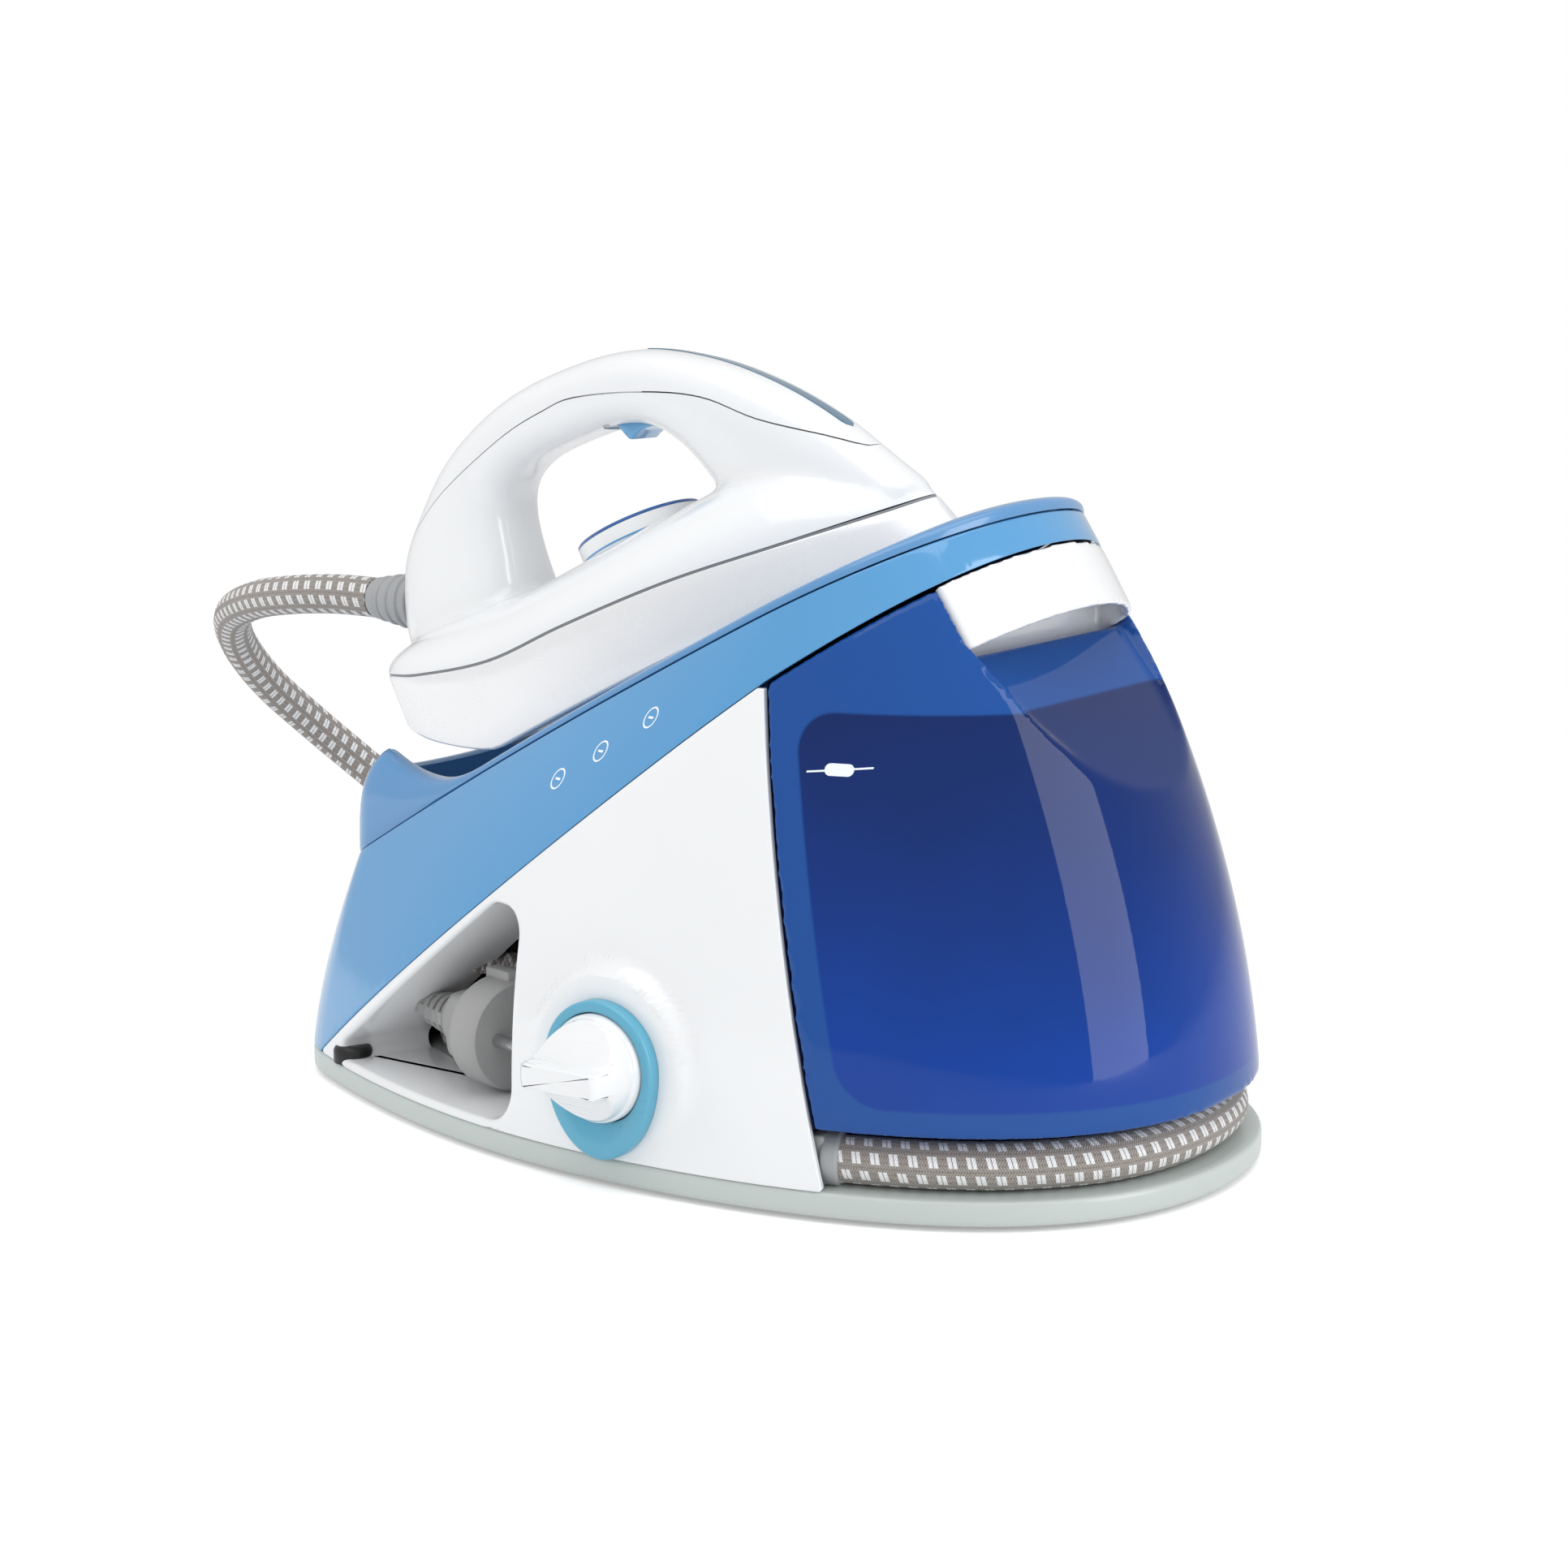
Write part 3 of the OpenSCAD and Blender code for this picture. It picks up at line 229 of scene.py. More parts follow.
def diag_x(z):
    return lerp(DIAG_FOOT, KNEE_X, (z - PLATE_TOP) / (KNEE_Z - PLATE_TOP))


def band_height(a):
    """Height of the band's lower line at a distance a from the front."""
    z = band_z(wrap(a, RIM_H).x)
    for _ in range(8):
        z = band_z(wrap(a, z).x)
    return z


# ---- mesh tools --------------------------------------------------------------
def rounded(corners, steps=6):
    """Outline through corners given as (x, y, radius)."""
    pts = []
    for i, (bx, by, r) in enumerate(corners):
        b = Vector((bx, by))
        a = Vector(corners[i - 1][:2])
        c = Vector(corners[(i + 1) % len(corners)][:2])
        u, v = (a - b).normalized(), (c - b).normalized()
        half = math.acos(max(-1, min(1, u.dot(v)))) / 2
        mid = b + (u + v).normalized() * (r / math.sin(half))
        p, q = b + u * r / math.tan(half), b + v * r / math.tan(half)
        a0 = math.atan2(p.y - mid.y, p.x - mid.x)
        turn = math.atan2(q.y - mid.y, q.x - mid.x) - a0
        turn = (turn + math.pi) % (2 * math.pi) - math.pi
        for k in range(steps + 1):
            t = a0 + turn * k / steps
            pts.append((mid.x + r * math.cos(t), mid.y + r * math.sin(t)))
    return pts


def filled_in(pts, gap=4.0):
    """The closed outline with points added, so that none are further apart than gap."""
    out = []
    for i, p in enumerate(pts):
        q = pts[(i + 1) % len(pts)]
        n = max(1, math.ceil(math.dist(p, q) / gap))
        out += [(lerp(p[0], q[0], k / n), lerp(p[1], q[1], k / n)) for k in range(n)]
    return out


def oblong(x0, y0, x1, y1):
    return [(x0, y0), (x1, y0), (x1, y1), (x0, y1)]


def signed_area(pts):
    return sum(p[0] * q[1] - q[0] * p[1] for p, q in zip(pts, pts[1:] + pts[:1])) / 2


def ring(bm, pts):
    """A closed loop of edges through the points."""
    verts = bmesh.ops.create_circle(bm, segments=len(pts), radius=1)["verts"]
    for v, p in zip(verts, pts):
        v.co = p
    return verts


def pull(bm, verts, pts):
    """Extrude a loop of edges to new points; gives the new loop, in the same order."""
    made = bmesh.ops.extrude_edge_only(bm, edges=ring_edges(verts))["geom"]
    fresh = {g for g in made if isinstance(g, bmesh.types.BMVert)}
    out = []
    for v, p in zip(verts, pts):
        twin = next(e.other_vert(v) for e in v.link_edges if e.other_vert(v) in fresh)
        twin.co = p
        out.append(twin)
    return out


def loft(rings, cap=(True, True)):
    """Closed skin through rings of points."""
    bm = bmesh.new()
    verts = ring(bm, rings[0])
    first = verts
    for pts in rings[1:]:
        verts = pull(bm, verts, pts)
    for want, loop in zip(cap, (first, verts)):
        if want:
            bmesh.ops.contextual_create(bm, geom=ring_edges(loop))
    bmesh.ops.recalc_face_normals(bm, faces=bm.faces)
    return bm


def ring_edges(verts):
    out = []
    for a, b in zip(verts, verts[1:] + verts[:1]):
        out.append(next(e for e in a.link_edges if e.other_vert(a) is b))
    return out


def inset_ring(pts, inset, depth):
    """The outline moved by inset to its left, at a depth."""
    out = []
    n = len(pts)
    for i, p in enumerate(pts):
        a, c = Vector(pts[i - 1]), Vector(pts[(i + 1) % n])
        p = Vector(p)
        u, v = (p - a).normalized(), (c - p).normalized()
        m = Vector((-(u + v).y, (u + v).x)).normalized()
        k = max(0.5, m.dot(Vector((-v.y, v.x))))
        q = p + m * inset / k
        out.append((q.x, q.y, depth))
    return out


def lip_profile(lip, wall):
    """(inset, depth) pairs from the back of an edge to its face, over a rounded lip."""
    turns = [math.radians(22.5 * k) for k in range(5)]
    return [(0.0, wall)] + [(lip * (1 - math.cos(t)), lip * (1 - math.sin(t))) for t in turns]


def cover(outer, holes=(), wall=WALL, *, lip, cell, warp):
    """A cover cut to an outline, with rounded edges, bent over the body by warp(a, z, depth).

    Each hole is (outline, lip, sleeve): its wall goes in as far as sleeve.
    """
    bm = bmesh.new()
    faces, backs = [], []
    loops = [(outer, lip, wall, 1)] + [(h, hl, sleeve, -1) for h, hl, sleeve in holes]
    for pts, edge_lip, sleeve, sense in loops:
        pts = list(pts)
        if signed_area(pts) * sense < 0:
            pts.reverse()
        steps = lip_profile(edge_lip, sleeve)
        if sleeve > wall:
            steps = [(WALL * 0.8, wall), (WALL * 0.8, sleeve)] + steps
        verts = ring(bm, inset_ring(pts, *steps[0]))
        backs += ring_edges(verts)
        for inset, depth in steps[1:]:
            verts = pull(bm, verts, inset_ring(pts, inset, depth))
        faces += ring_edges(verts)
    for edges in (faces, backs):
        bmesh.ops.triangle_fill(bm, edges=edges, use_beauty=True, normal=(0, 0, 1))
    for axis in (0, 1):
        low = min(v.co[axis] for v in bm.verts)
        high = max(v.co[axis] for v in bm.verts)
        for k in range(1, math.ceil((high - low) / cell)):
            at, along = Vector((0, 0, 0)), Vector((0, 0, 0))
            at[axis], along[axis] = low + k * cell, 1
            everything = bm.verts[:] + bm.edges[:] + bm.faces[:]
            bmesh.ops.bisect_plane(bm, geom=everything, dist=1e-4, plane_co=at, plane_no=along)
    for v in bm.verts:
        v.co = warp(v.co.x, v.co.y, v.co.z)
    bmesh.ops.remove_doubles(bm, verts=bm.verts, dist=0.01)
    bmesh.ops.recalc_face_normals(bm, faces=bm.faces)
    return bm


def turned(profile, segments=64, axis="Z", at=(0, 0, 0)):
    """Body of revolution from (radius, height) pairs; a closed profile gives a ring."""
    bm = bmesh.new()
    verts = [bm.verts.new((r, 0, h)) for r, h in profile]
    closed = profile[0][0] > 1e-6
    pairs = list(zip(verts, verts[1:] + (verts[:1] if closed else [])))
    edges = [bm.edges.new(p) for p in pairs if p[0] is not p[1]]
    bmesh.ops.spin(
        bm, geom=verts + edges, cent=(0, 0, 0), axis=(0, 0, 1), angle=2 * math.pi,
        steps=segments, use_merge=True,
    )
    bmesh.ops.remove_doubles(bm, verts=bm.verts, dist=1e-3)
    bmesh.ops.recalc_face_normals(bm, faces=bm.faces)
    if axis == "X":
        bm.transform(Matrix.Rotation(math.radians(90), 4, "Y"))
    bm.transform(Matrix.Translation(at))
    return bm


def join(bm, *others):
    for other in others:
        mesh = bpy.data.meshes.new("part")
        other.to_mesh(mesh)
        other.free()
        bm.from_mesh(mesh)
        bpy.data.meshes.remove(mesh)
    return bm


def prism(pts, low, high, plane="XZ"):
    """An outline run straight from low to high; XZ outlines run along Y, YZ ones along X."""
    def at(p, t):
        if plane == "XZ":
            return (p[0], t, p[1])
        if plane == "YZ":
            return (t, p[0], p[1])
        return (p[0], p[1], t)
    return loft([[at(p, low) for p in pts], [at(p, high) for p in pts]])


def as_object(bm, name="part"):
    mesh = bpy.data.meshes.new(name)
    bm.to_mesh(mesh)
    bm.free()
    obj = bpy.data.objects.new(name, mesh)
    bpy.context.scene.collection.objects.link(obj)
    return obj


def worked(bm, *steps):
    """The mesh after a row of modifiers, each given as (kind, settings)."""
    obj = as_object(bm)
    helpers = []
    for kind, settings in steps:
        mod = obj.modifiers.new(kind, kind)
        for key, value in settings.items():
            if isinstance(value, bmesh.types.BMesh):
                value = as_object(value, "cutter")
                helpers.append(value)
            setattr(mod, key, value)
    bpy.context.view_layer.update()
    ready = obj.evaluated_get(bpy.context.evaluated_depsgraph_get())
    out = bmesh.new()
    out.from_mesh(ready.to_mesh())
    ready.to_mesh_clear()
    for o in [obj, *helpers]:
        mesh = o.data
        bpy.data.objects.remove(o)
        bpy.data.meshes.remove(mesh)
    return out


def cut(bm, *cutters, operation="DIFFERENCE"):
    steps = [
        ("BOOLEAN", {"operation": operation, "solver": "EXACT", "object": c}) for c in cutters
    ]
    return worked(bm, *steps)


def overlap(bm, other):
    return cut(bm, other, operation="INTERSECT")


def smoothed(bm, voxel, rounds):
    """The mesh rebuilt on a grid and smoothed, which rounds where its parts meet."""
    return worked(bm, ("REMESH", {"mode": "VOXEL", "voxel_size": voxel}),
                  ("SMOOTH", {"factor": 0.5, "iterations": rounds}))


def mirrored(bm):
    """The near half, cut at the centre plane and mirrored to the far side."""
    everything = bm.verts[:] + bm.edges[:] + bm.faces[:]
    bmesh.ops.bisect_plane(
        bm, geom=everything, dist=1e-3, plane_co=(0, 0, 0), plane_no=(0, 1, 0), clear_outer=True
    )
    for v in bm.verts:
        if abs(v.co.y) < 0.02:
            v.co.y = 0
    everything = bm.verts[:] + bm.edges[:] + bm.faces[:]
    bmesh.ops.mirror(bm, geom=everything, axis="Y", merge_dist=0.01)
    bmesh.ops.remove_doubles(bm, verts=bm.verts, dist=0.005)
    bmesh.ops.recalc_face_normals(bm, faces=bm.faces)
    return bm


def soften(bm, width, angle=35.0, segments=3, clamp=True):
    """Round every edge sharper than the angle."""
    return worked(bm, ("BEVEL", {
        "width": width, "segments": segments, "limit_method": "ANGLE",
        "angle_limit": math.radians(angle), "use_clamp_overlap": clamp,
    }))


def add_piece(name, bm, finish, body, nodes=(), sharp=40.0, place=None):
    """Put a mesh in millimetres into the row frame as one piece that rides on a body."""
    bm.transform(TO_ROW @ place if place else TO_ROW)
    mesh = bpy.data.meshes.new(name)
    bm.to_mesh(mesh)
    bm.free()
    for p in mesh.polygons:
        p.use_smooth = True
    mesh.set_sharp_from_angle(angle=math.radians(sharp))
    obj = bpy.data.objects.new(name, mesh)
    bpy.context.scene.collection.objects.link(obj)
    mesh.materials.append(FINISH[finish])
    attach(obj, body)
    if nodes:
        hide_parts(*nodes)
    return obj


# ---- finishes ----------------------------------------------------------------
def add_node(tree, kind, inputs, **settings):
    """A shader node whose sockets are linked or set."""
    n = tree.nodes.new(kind)
    for key, value in settings.items():
        setattr(n, key, value)
    for key, value in inputs.items():
        if isinstance(value, bpy.types.NodeSocket):
            tree.links.new(value, n.inputs[key])
        else:
            n.inputs[key].default_value = value
    return n


class Recipe:
    """A node material in the making, with a Principled shader."""

    def __init__(self, name, **shader):
        self.material = bpy.data.materials.new(name)
        self.material.use_nodes = True
        self.tree = self.material.node_tree
        self.shader = self.tree.nodes["Principled BSDF"]
        for key, value in shader.items():
            self.shader.inputs[key.replace("_", " ")].default_value = value
        self.place = self.tree.nodes.new("ShaderNodeTexCoord").outputs["Object"]

    def node(self, kind, inputs, **settings):
        return add_node(self.tree, kind, inputs, **settings)

    def math(self, operation, *values):
        return self.node("ShaderNodeMath", dict(enumerate(values)), operation=operation).outputs[0]

    def add(self, a, b):
        return self.math("ADD", a, b)

    def sub(self, a, b):
        return self.math("SUBTRACT", a, b)

    def mul(self, a, b):
        return self.math("MULTIPLY", a, b)

    def size(self, a):
        return self.math("ABSOLUTE", a)

    def fract(self, a):
        return self.math("FRACT", a)

    def noise(self, scale, detail, at=None):
        values = {"Vector": at or self.place, "Scale": scale, "Detail": detail}
        return self.node("ShaderNodeTexNoise", values).outputs["Fac"]

    def mix(self, share, a, b):
        n = self.node("ShaderNodeMix", {0: share}, data_type="RGBA")
        for socket, value in ((n.inputs[6], a), (n.inputs[7], b)):
            if isinstance(value, bpy.types.NodeSocket):
                self.tree.links.new(value, socket)
            else:
                socket.default_value = (*value[:3], 1)
        return n.outputs[2]

    def remap(self, value, a, b, low=0.0, high=1.0):
        return self.node("ShaderNodeMapRange", {
            "Value": value, "From Min": low, "From Max": high, "To Min": a, "To Max": b,
        }).outputs["Result"]

    def axis(self, socket=None):
        n = self.node("ShaderNodeSeparateXYZ", {"Vector": socket or self.place})
        return n.outputs[0], n.outputs[1], n.outputs[2]

    def put(self, key, socket):
        self.tree.links.new(socket, self.shader.inputs[key])
        return self

    def bump(self, height, strength, distance=0.0004):
        n = self.node("ShaderNodeBump", {
            "Height": height, "Strength": strength, "Distance": distance,
        })
        return self.put("Normal", n.outputs["Normal"])


def shade(colour, k):
    return tuple(min(1.0, c * k) for c in colour)


def moulding(name, colour, rough=0.25, grain=0.05, coat=0.0, drift=0.02, **more):
    """Moulded plastic or rubber: faint cloudiness in colour and gloss, and a fine surface grain."""
    r = Recipe(name, Coat_Weight=coat, Coat_Roughness=0.06, **more)
    cloud = r.noise(14, 3)
    r.put("Base Color", r.mix(cloud, shade(colour, 1 - drift), shade(colour, 1 + drift)))
    r.put("Roughness", r.remap(r.noise(60, 4), rough * 0.85, rough * 1.15, 0.3, 0.7))
    return r.bump(r.noise(900, 3), grain).material


def metal(name, colour, rough, brush, stretch=(1, 30, 1)):
    """Brushed or blasted metal."""
    r = Recipe(name, Metallic=1.0)
    n = r.node("ShaderNodeMapping", {"Vector": r.place, "Scale": stretch})
    streaks = r.noise(160, 5, n.outputs["Vector"])
    r.put("Base Color", r.mix(streaks, shade(colour, 0.93), shade(colour, 1.05)))
    r.put("Roughness", r.remap(streaks, rough * 0.8, rough * 1.25, 0.3, 0.7))
    return r.bump(streaks, brush, 0.0001).material


def hose_weave():
    """Braided sleeve: slanting yarns, and pairs of white dashes in rows round the hose, with
    painted shade in the grooves and on the yarns' low sides.
    """
    r = Recipe("Hose braid", Roughness=0.78, Sheen_Weight=0.25, Sheen_Roughness=0.5)
    uv = r.node("ShaderNodeUVMap", {}, uv_map="Along").outputs[0]
    along, about, _ = r.axis(uv)
    rows, pitch = 8.0, 6.1
    lane = r.mul(about, rows)
    half_step = r.mul(r.math("FLOOR", r.math("MODULO", lane, 2.0)), 0.5)
    cell = r.add(r.math("DIVIDE", along, pitch), half_step)
    across = r.sub(r.fract(lane), 0.5)
    slant = r.sub(r.fract(cell), r.mul(across, 0.22))
    pair = r.size(r.sub(r.size(r.sub(slant, 0.5)), 0.13))
    dash = r.math("LESS_THAN", pair, 0.105)
    short = r.math("LESS_THAN", r.size(across), 0.31)
    white = r.mul(dash, short)
    ribs = r.mul(about, rows * 3)
    zigzag = r.math("PINGPONG", ribs, 1.0)
    yarn = r.math("SINE", r.mul(r.add(r.mul(along, 1.15), r.mul(zigzag, 1.3)), 2 * math.pi))
    groove = r.size(r.sub(r.fract(ribs), 0.5))
    height = r.add(r.mul(yarn, 0.5), r.mul(groove, -1.1))
    fibre = r.noise(1600, 3)
    # painted shade and highlight: each yarn is darker in its troughs and lighter on its crests, as
    # its bump rises
    grey = r.mix(r.remap(yarn, 0, 1, -1, 1), (0.20, 0.175, 0.155), (0.40, 0.36, 0.33))
    # painted shade: darker in the grooves between the rows of yarn
    grey = r.mix(r.remap(groove, 0, 0.55, 0.3, 0.5), grey, (0.11, 0.095, 0.085))
    grey = r.mix(r.remap(fibre, 0, 0.35, 0.4, 0.7), grey, (0.48, 0.44, 0.41))
    r.put("Base Color", r.mix(white, grey, (0.86, 0.87, 0.88)))
    return r.bump(r.add(height, r.mul(white, 0.7)), 0.6, 0.0005).material


def lead_weave():
    """Braided mains lead: grey yarns flecked with white, with painted shade in the crevices between
    them.
    """
    r = Recipe("Lead braid", Roughness=0.8, Sheen_Weight=0.2, Sheen_Roughness=0.5)
    uv = r.node("ShaderNodeUVMap", {}, uv_map="Along").outputs[0]
    along, about, _ = r.axis(uv)
    right = r.add(r.mul(along, 0.62), r.mul(about, 6.0))
    left = r.sub(r.mul(along, 0.62), r.mul(about, 6.0))
    cell = r.node("ShaderNodeCombineXYZ", {0: r.math("FLOOR", right), 1: r.math("FLOOR", left)})
    pick = r.node("ShaderNodeTexWhiteNoise", {"Vector": cell.outputs[0]}).outputs["Value"]
    up = r.size(r.sub(r.fract(right), 0.5))
    down = r.size(r.sub(r.fract(left), 0.5))
    edge = r.math("MAXIMUM", up, down)
    yarn = r.mix(r.remap(pick, 0, 1, 0.2, 0.9), (0.17, 0.15, 0.145), (0.72, 0.70, 0.69))
    # painted shade: darker along the crevices between the yarns, where the bump sinks
    r.put("Base Color", r.mix(r.remap(edge, 0, 0.75, 0.3, 0.5), yarn, (0.06, 0.055, 0.05)))
    return r.bump(r.mul(edge, -1.0), 0.8, 0.0007).material


# Edge of the tank's inner chamber, where the painted glow round it stops: its top in millimetres,
# then in metres how far it lies inside the tank's back edge and above its floor, and the radius of
# its corners
CHAMBER_TOP = 165.5
CHAMBER_IN, CHAMBER_UP, CHAMBER_BEND = 0.012, 0.009, 0.014


def tank_glass():
    """Deep blue glossy plastic with painted light: a paler frame outside the inner chamber's edge,
    painted where light would shine through the single wall, and painted shade towards the bottom.
    """
    r = Recipe("Tank blue", Roughness=0.03, IOR=1.46, Specular_IOR_Level=0.35)
    x, _, z = r.axis()
    lean = r.add(x, r.mul(z, TANK_LEAN))
    from_edge = r.sub(lean, EDGE_X0 * MM)
    from_floor = r.sub(z, TANK_FLOOR * MM)
    across = r.math("MAXIMUM", r.sub(CHAMBER_IN + CHAMBER_BEND, from_edge), 0.0)
    low = r.sub(CHAMBER_UP + CHAMBER_BEND, from_floor)
    high = r.sub(z, CHAMBER_TOP * MM - CHAMBER_BEND)
    down = r.math("MAXIMUM", r.math("MAXIMUM", low, high), 0.0)
    out = r.math("SQRT", r.add(r.mul(across, across), r.mul(down, down)))
    # painted glow: paler blue outside the chamber's edge, where light would shine through the
    # single wall
    painted_glow_share = r.remap(out, 0, 1, CHAMBER_BEND - 0.0004, CHAMBER_BEND + 0.0006)
    cloud = r.remap(r.noise(9, 3), 0, 1, 0.35, 0.65)
    deep = r.mix(cloud, (0.001, 0.030, 0.20), (0.001, 0.042, 0.29))
    # painted shade: the blue turns darker towards the bottom of the tank
    height = r.remap(z, 1, 0, 0.06, 0.17)
    deep = r.mix(height, (0.001, 0.015, 0.10), deep)
    r.put("Base Color", r.mix(painted_glow_share, deep, (0.010, 0.070, 0.29)))
    return r.material


FINISH = {}


def make_finishes():
    colours = bpy.context.scene.iron_colours
    FINISH.update(
        white=moulding("Gloss white", colours.cover, 0.16, 0.03, coat=0.7),
        white_in=moulding("White inside", shade(colours.cover, 0.72), 0.4, 0.06),
        pale=moulding("Base grey", colours.base, 0.32, 0.08, coat=0.25),
        band=moulding("Light blue", colours.band, 0.14, 0.03, coat=0.8, drift=0.03),
        deck=moulding("Deck blue", colours.deck, 0.2, 0.04, coat=0.5, drift=0.04),
        ring=moulding("Turquoise", colours.ring, 0.3, 0.06, coat=0.3),
        navy=moulding("Navy", (0.008, 0.02, 0.075), 0.4, 0.08),
        black=moulding("Black plastic", (0.012, 0.012, 0.013), 0.35, 0.1),
        rubber=moulding("Rubber", (0.02, 0.02, 0.021), 0.65, 0.3),
        # painted shade: the cord pocket's tray is given a mid grey for the shade inside the pocket
        pocket=moulding("Pocket painted shade grey", (0.40, 0.41, 0.42), 0.5, 0.1),
        grey=moulding("Cuff grey", (0.34, 0.35, 0.36), 0.45, 0.15),
        plug=moulding("Plug grey", (0.33, 0.33, 0.33), 0.5, 0.2, drift=0.05),
        dark=moulding("Dark grey", (0.06, 0.06, 0.065), 0.45, 0.15),
        trigger=moulding("Trigger blue", (0.10, 0.33, 0.60), 0.1, 0.02, coat=0.9),
        inlay=moulding("Inlay blue", (0.045, 0.14, 0.24), 0.15, 0.02, coat=0.8),
        rim=moulding("Dial rim blue", (0.02, 0.10, 0.33), 0.18, 0.02, coat=0.6),
        print=moulding("Printed mark", (0.80, 0.86, 0.93), 0.35, 0.02),
        print_dark=moulding("Printed line", (0.12, 0.125, 0.13), 0.4, 0.02),
        line=moulding("Seam grey", (0.22, 0.23, 0.25), 0.4, 0.02),
        tube=moulding("Silicone tube", (0.62, 0.63, 0.62), 0.45, 0.1),
        board=moulding("Board green", (0.015, 0.11, 0.05), 0.5, 0.1),
        red=moulding("Switch red", (0.42, 0.02, 0.015), 0.2, 0.02, coat=0.5),
        silver=moulding("Silver skirt", (0.86, 0.865, 0.875), 0.26, 0.02, coat=0.3, drift=0.006,
                        Metallic=0.35),
        steel=metal("Steel", (0.55, 0.55, 0.56), 0.3, 0.1),
        sole=metal("Soleplate", (0.66, 0.67, 0.68), 0.22, 0.12),
        cast=metal("Cast metal", (0.42, 0.42, 0.43), 0.5, 0.4, (2, 2, 2)),
        brass=metal("Brass", (0.60, 0.42, 0.16), 0.3, 0.1),
        tank=tank_glass(),
        hose=hose_weave(),
        lead=lead_weave(),
    )


CARRIED = {
    "base_screws": "steel", "tank_platform": "navy", "tank_bulkhead": "navy", "deck_pads": "rubber",
    "boiler_body": "steel", "boiler_element": "cast", "boiler_thermostat": "white_in",
    "safety_valve": "brass", "boiler_saddles": "dark", "calc_port": "steel",
    "steam_valve": "brass", "water_pump": "dark", "control_board": "board", "feed_tube": "tube",
    "boiler_tube": "tube", "steam_tube": "tube", "tank_socket": "dark",
    "tank_valve_body": "white_in", "tank_valve_stem": "steel", "tank_valve_spring": "steel",
    "tank_fill_plug": "dark", "soleplate": "sole", "iron_heater": "cast",
    "trigger_pin": "steel", "trigger_switch": "dark", "iron_thermostat": "dark",
    "iron_steam_tube": "tube", "iron_screws": "steel", "calc_seal": "rubber",
    "calc_collector": "steel", "cord_pocket": "pocket", "plug_pins": "steel",
    "power_rocker": "red", "switch_bezel": "dark",
}


# ---- sizes and colours a user would change ------------------------------------
def colour(name, text, value):
    return bpy.props.FloatVectorProperty(
        name=name, description=text, default=value, size=3, subtype="COLOR", min=0, max=1,
    )


class IronColours(bpy.types.PropertyGroup):
    cover: colour("Covers", "White mouldings of station and iron", (0.80, 0.815, 0.83))
    base: colour("Base plate", "Pale grey base plate", (0.50, 0.55, 0.53))
    band: colour("Upper shell", "Light blue shell round the top", (0.08, 0.30, 0.58))
    deck: colour("Deck", "Blue deck under the iron", (0.10, 0.27, 0.52))
    ring: colour("Drain ring", "Turquoise ring round the knob", (0.10, 0.38, 0.54))


class IronSizes(bpy.types.PropertyGroup):
    seam_lip: bpy.props.FloatProperty(
        name="Edge rounding", description="Rounding of the covers' edges", default=0.6,
        min=0.2, max=1.0)
    mouth_lip: bpy.props.FloatProperty(
        name="Pocket rounding", description="Rounding of the cord pocket's mouth", default=2.4,
        min=1.0, max=3.0)
    cell: bpy.props.FloatProperty(
        name="Mesh size", description="Size of the covers' mesh cells", default=5.0,
        min=3.0, max=12.0)


def sizes():
    return bpy.context.scene.iron_sizes


# ---- stage ----------------------------------------------------------------------
CAMERA_AT = Vector((0.6232, -0.8683, 0.3161))
CAMERA_LOOK = Vector((-0.5644, 0.8061, -0.1779))
LENS, SENSOR = 68.37, 36.0
ROOM_GLOW = 0.62
FLOOR_GLOW = 0.30
# The floor turns plain white for the camera between these distances, in metres
FADE_FROM, FADE_TO = 0.42, 1.0


def area_light(name, at, aim, size, power):
    lamp = bpy.data.lights.new(name, "AREA")
    lamp.shape = "RECTANGLE"
    lamp.size, lamp.size_y = size
    lamp.energy = power
    obj = bpy.data.objects.new(name, lamp)
    obj.matrix_world = Matrix.Translation(at) @ (
        Vector(aim) - Vector(at)).to_track_quat("-Z", "Y").to_matrix().to_4x4()
    bpy.context.scene.collection.objects.link(obj)
    return obj


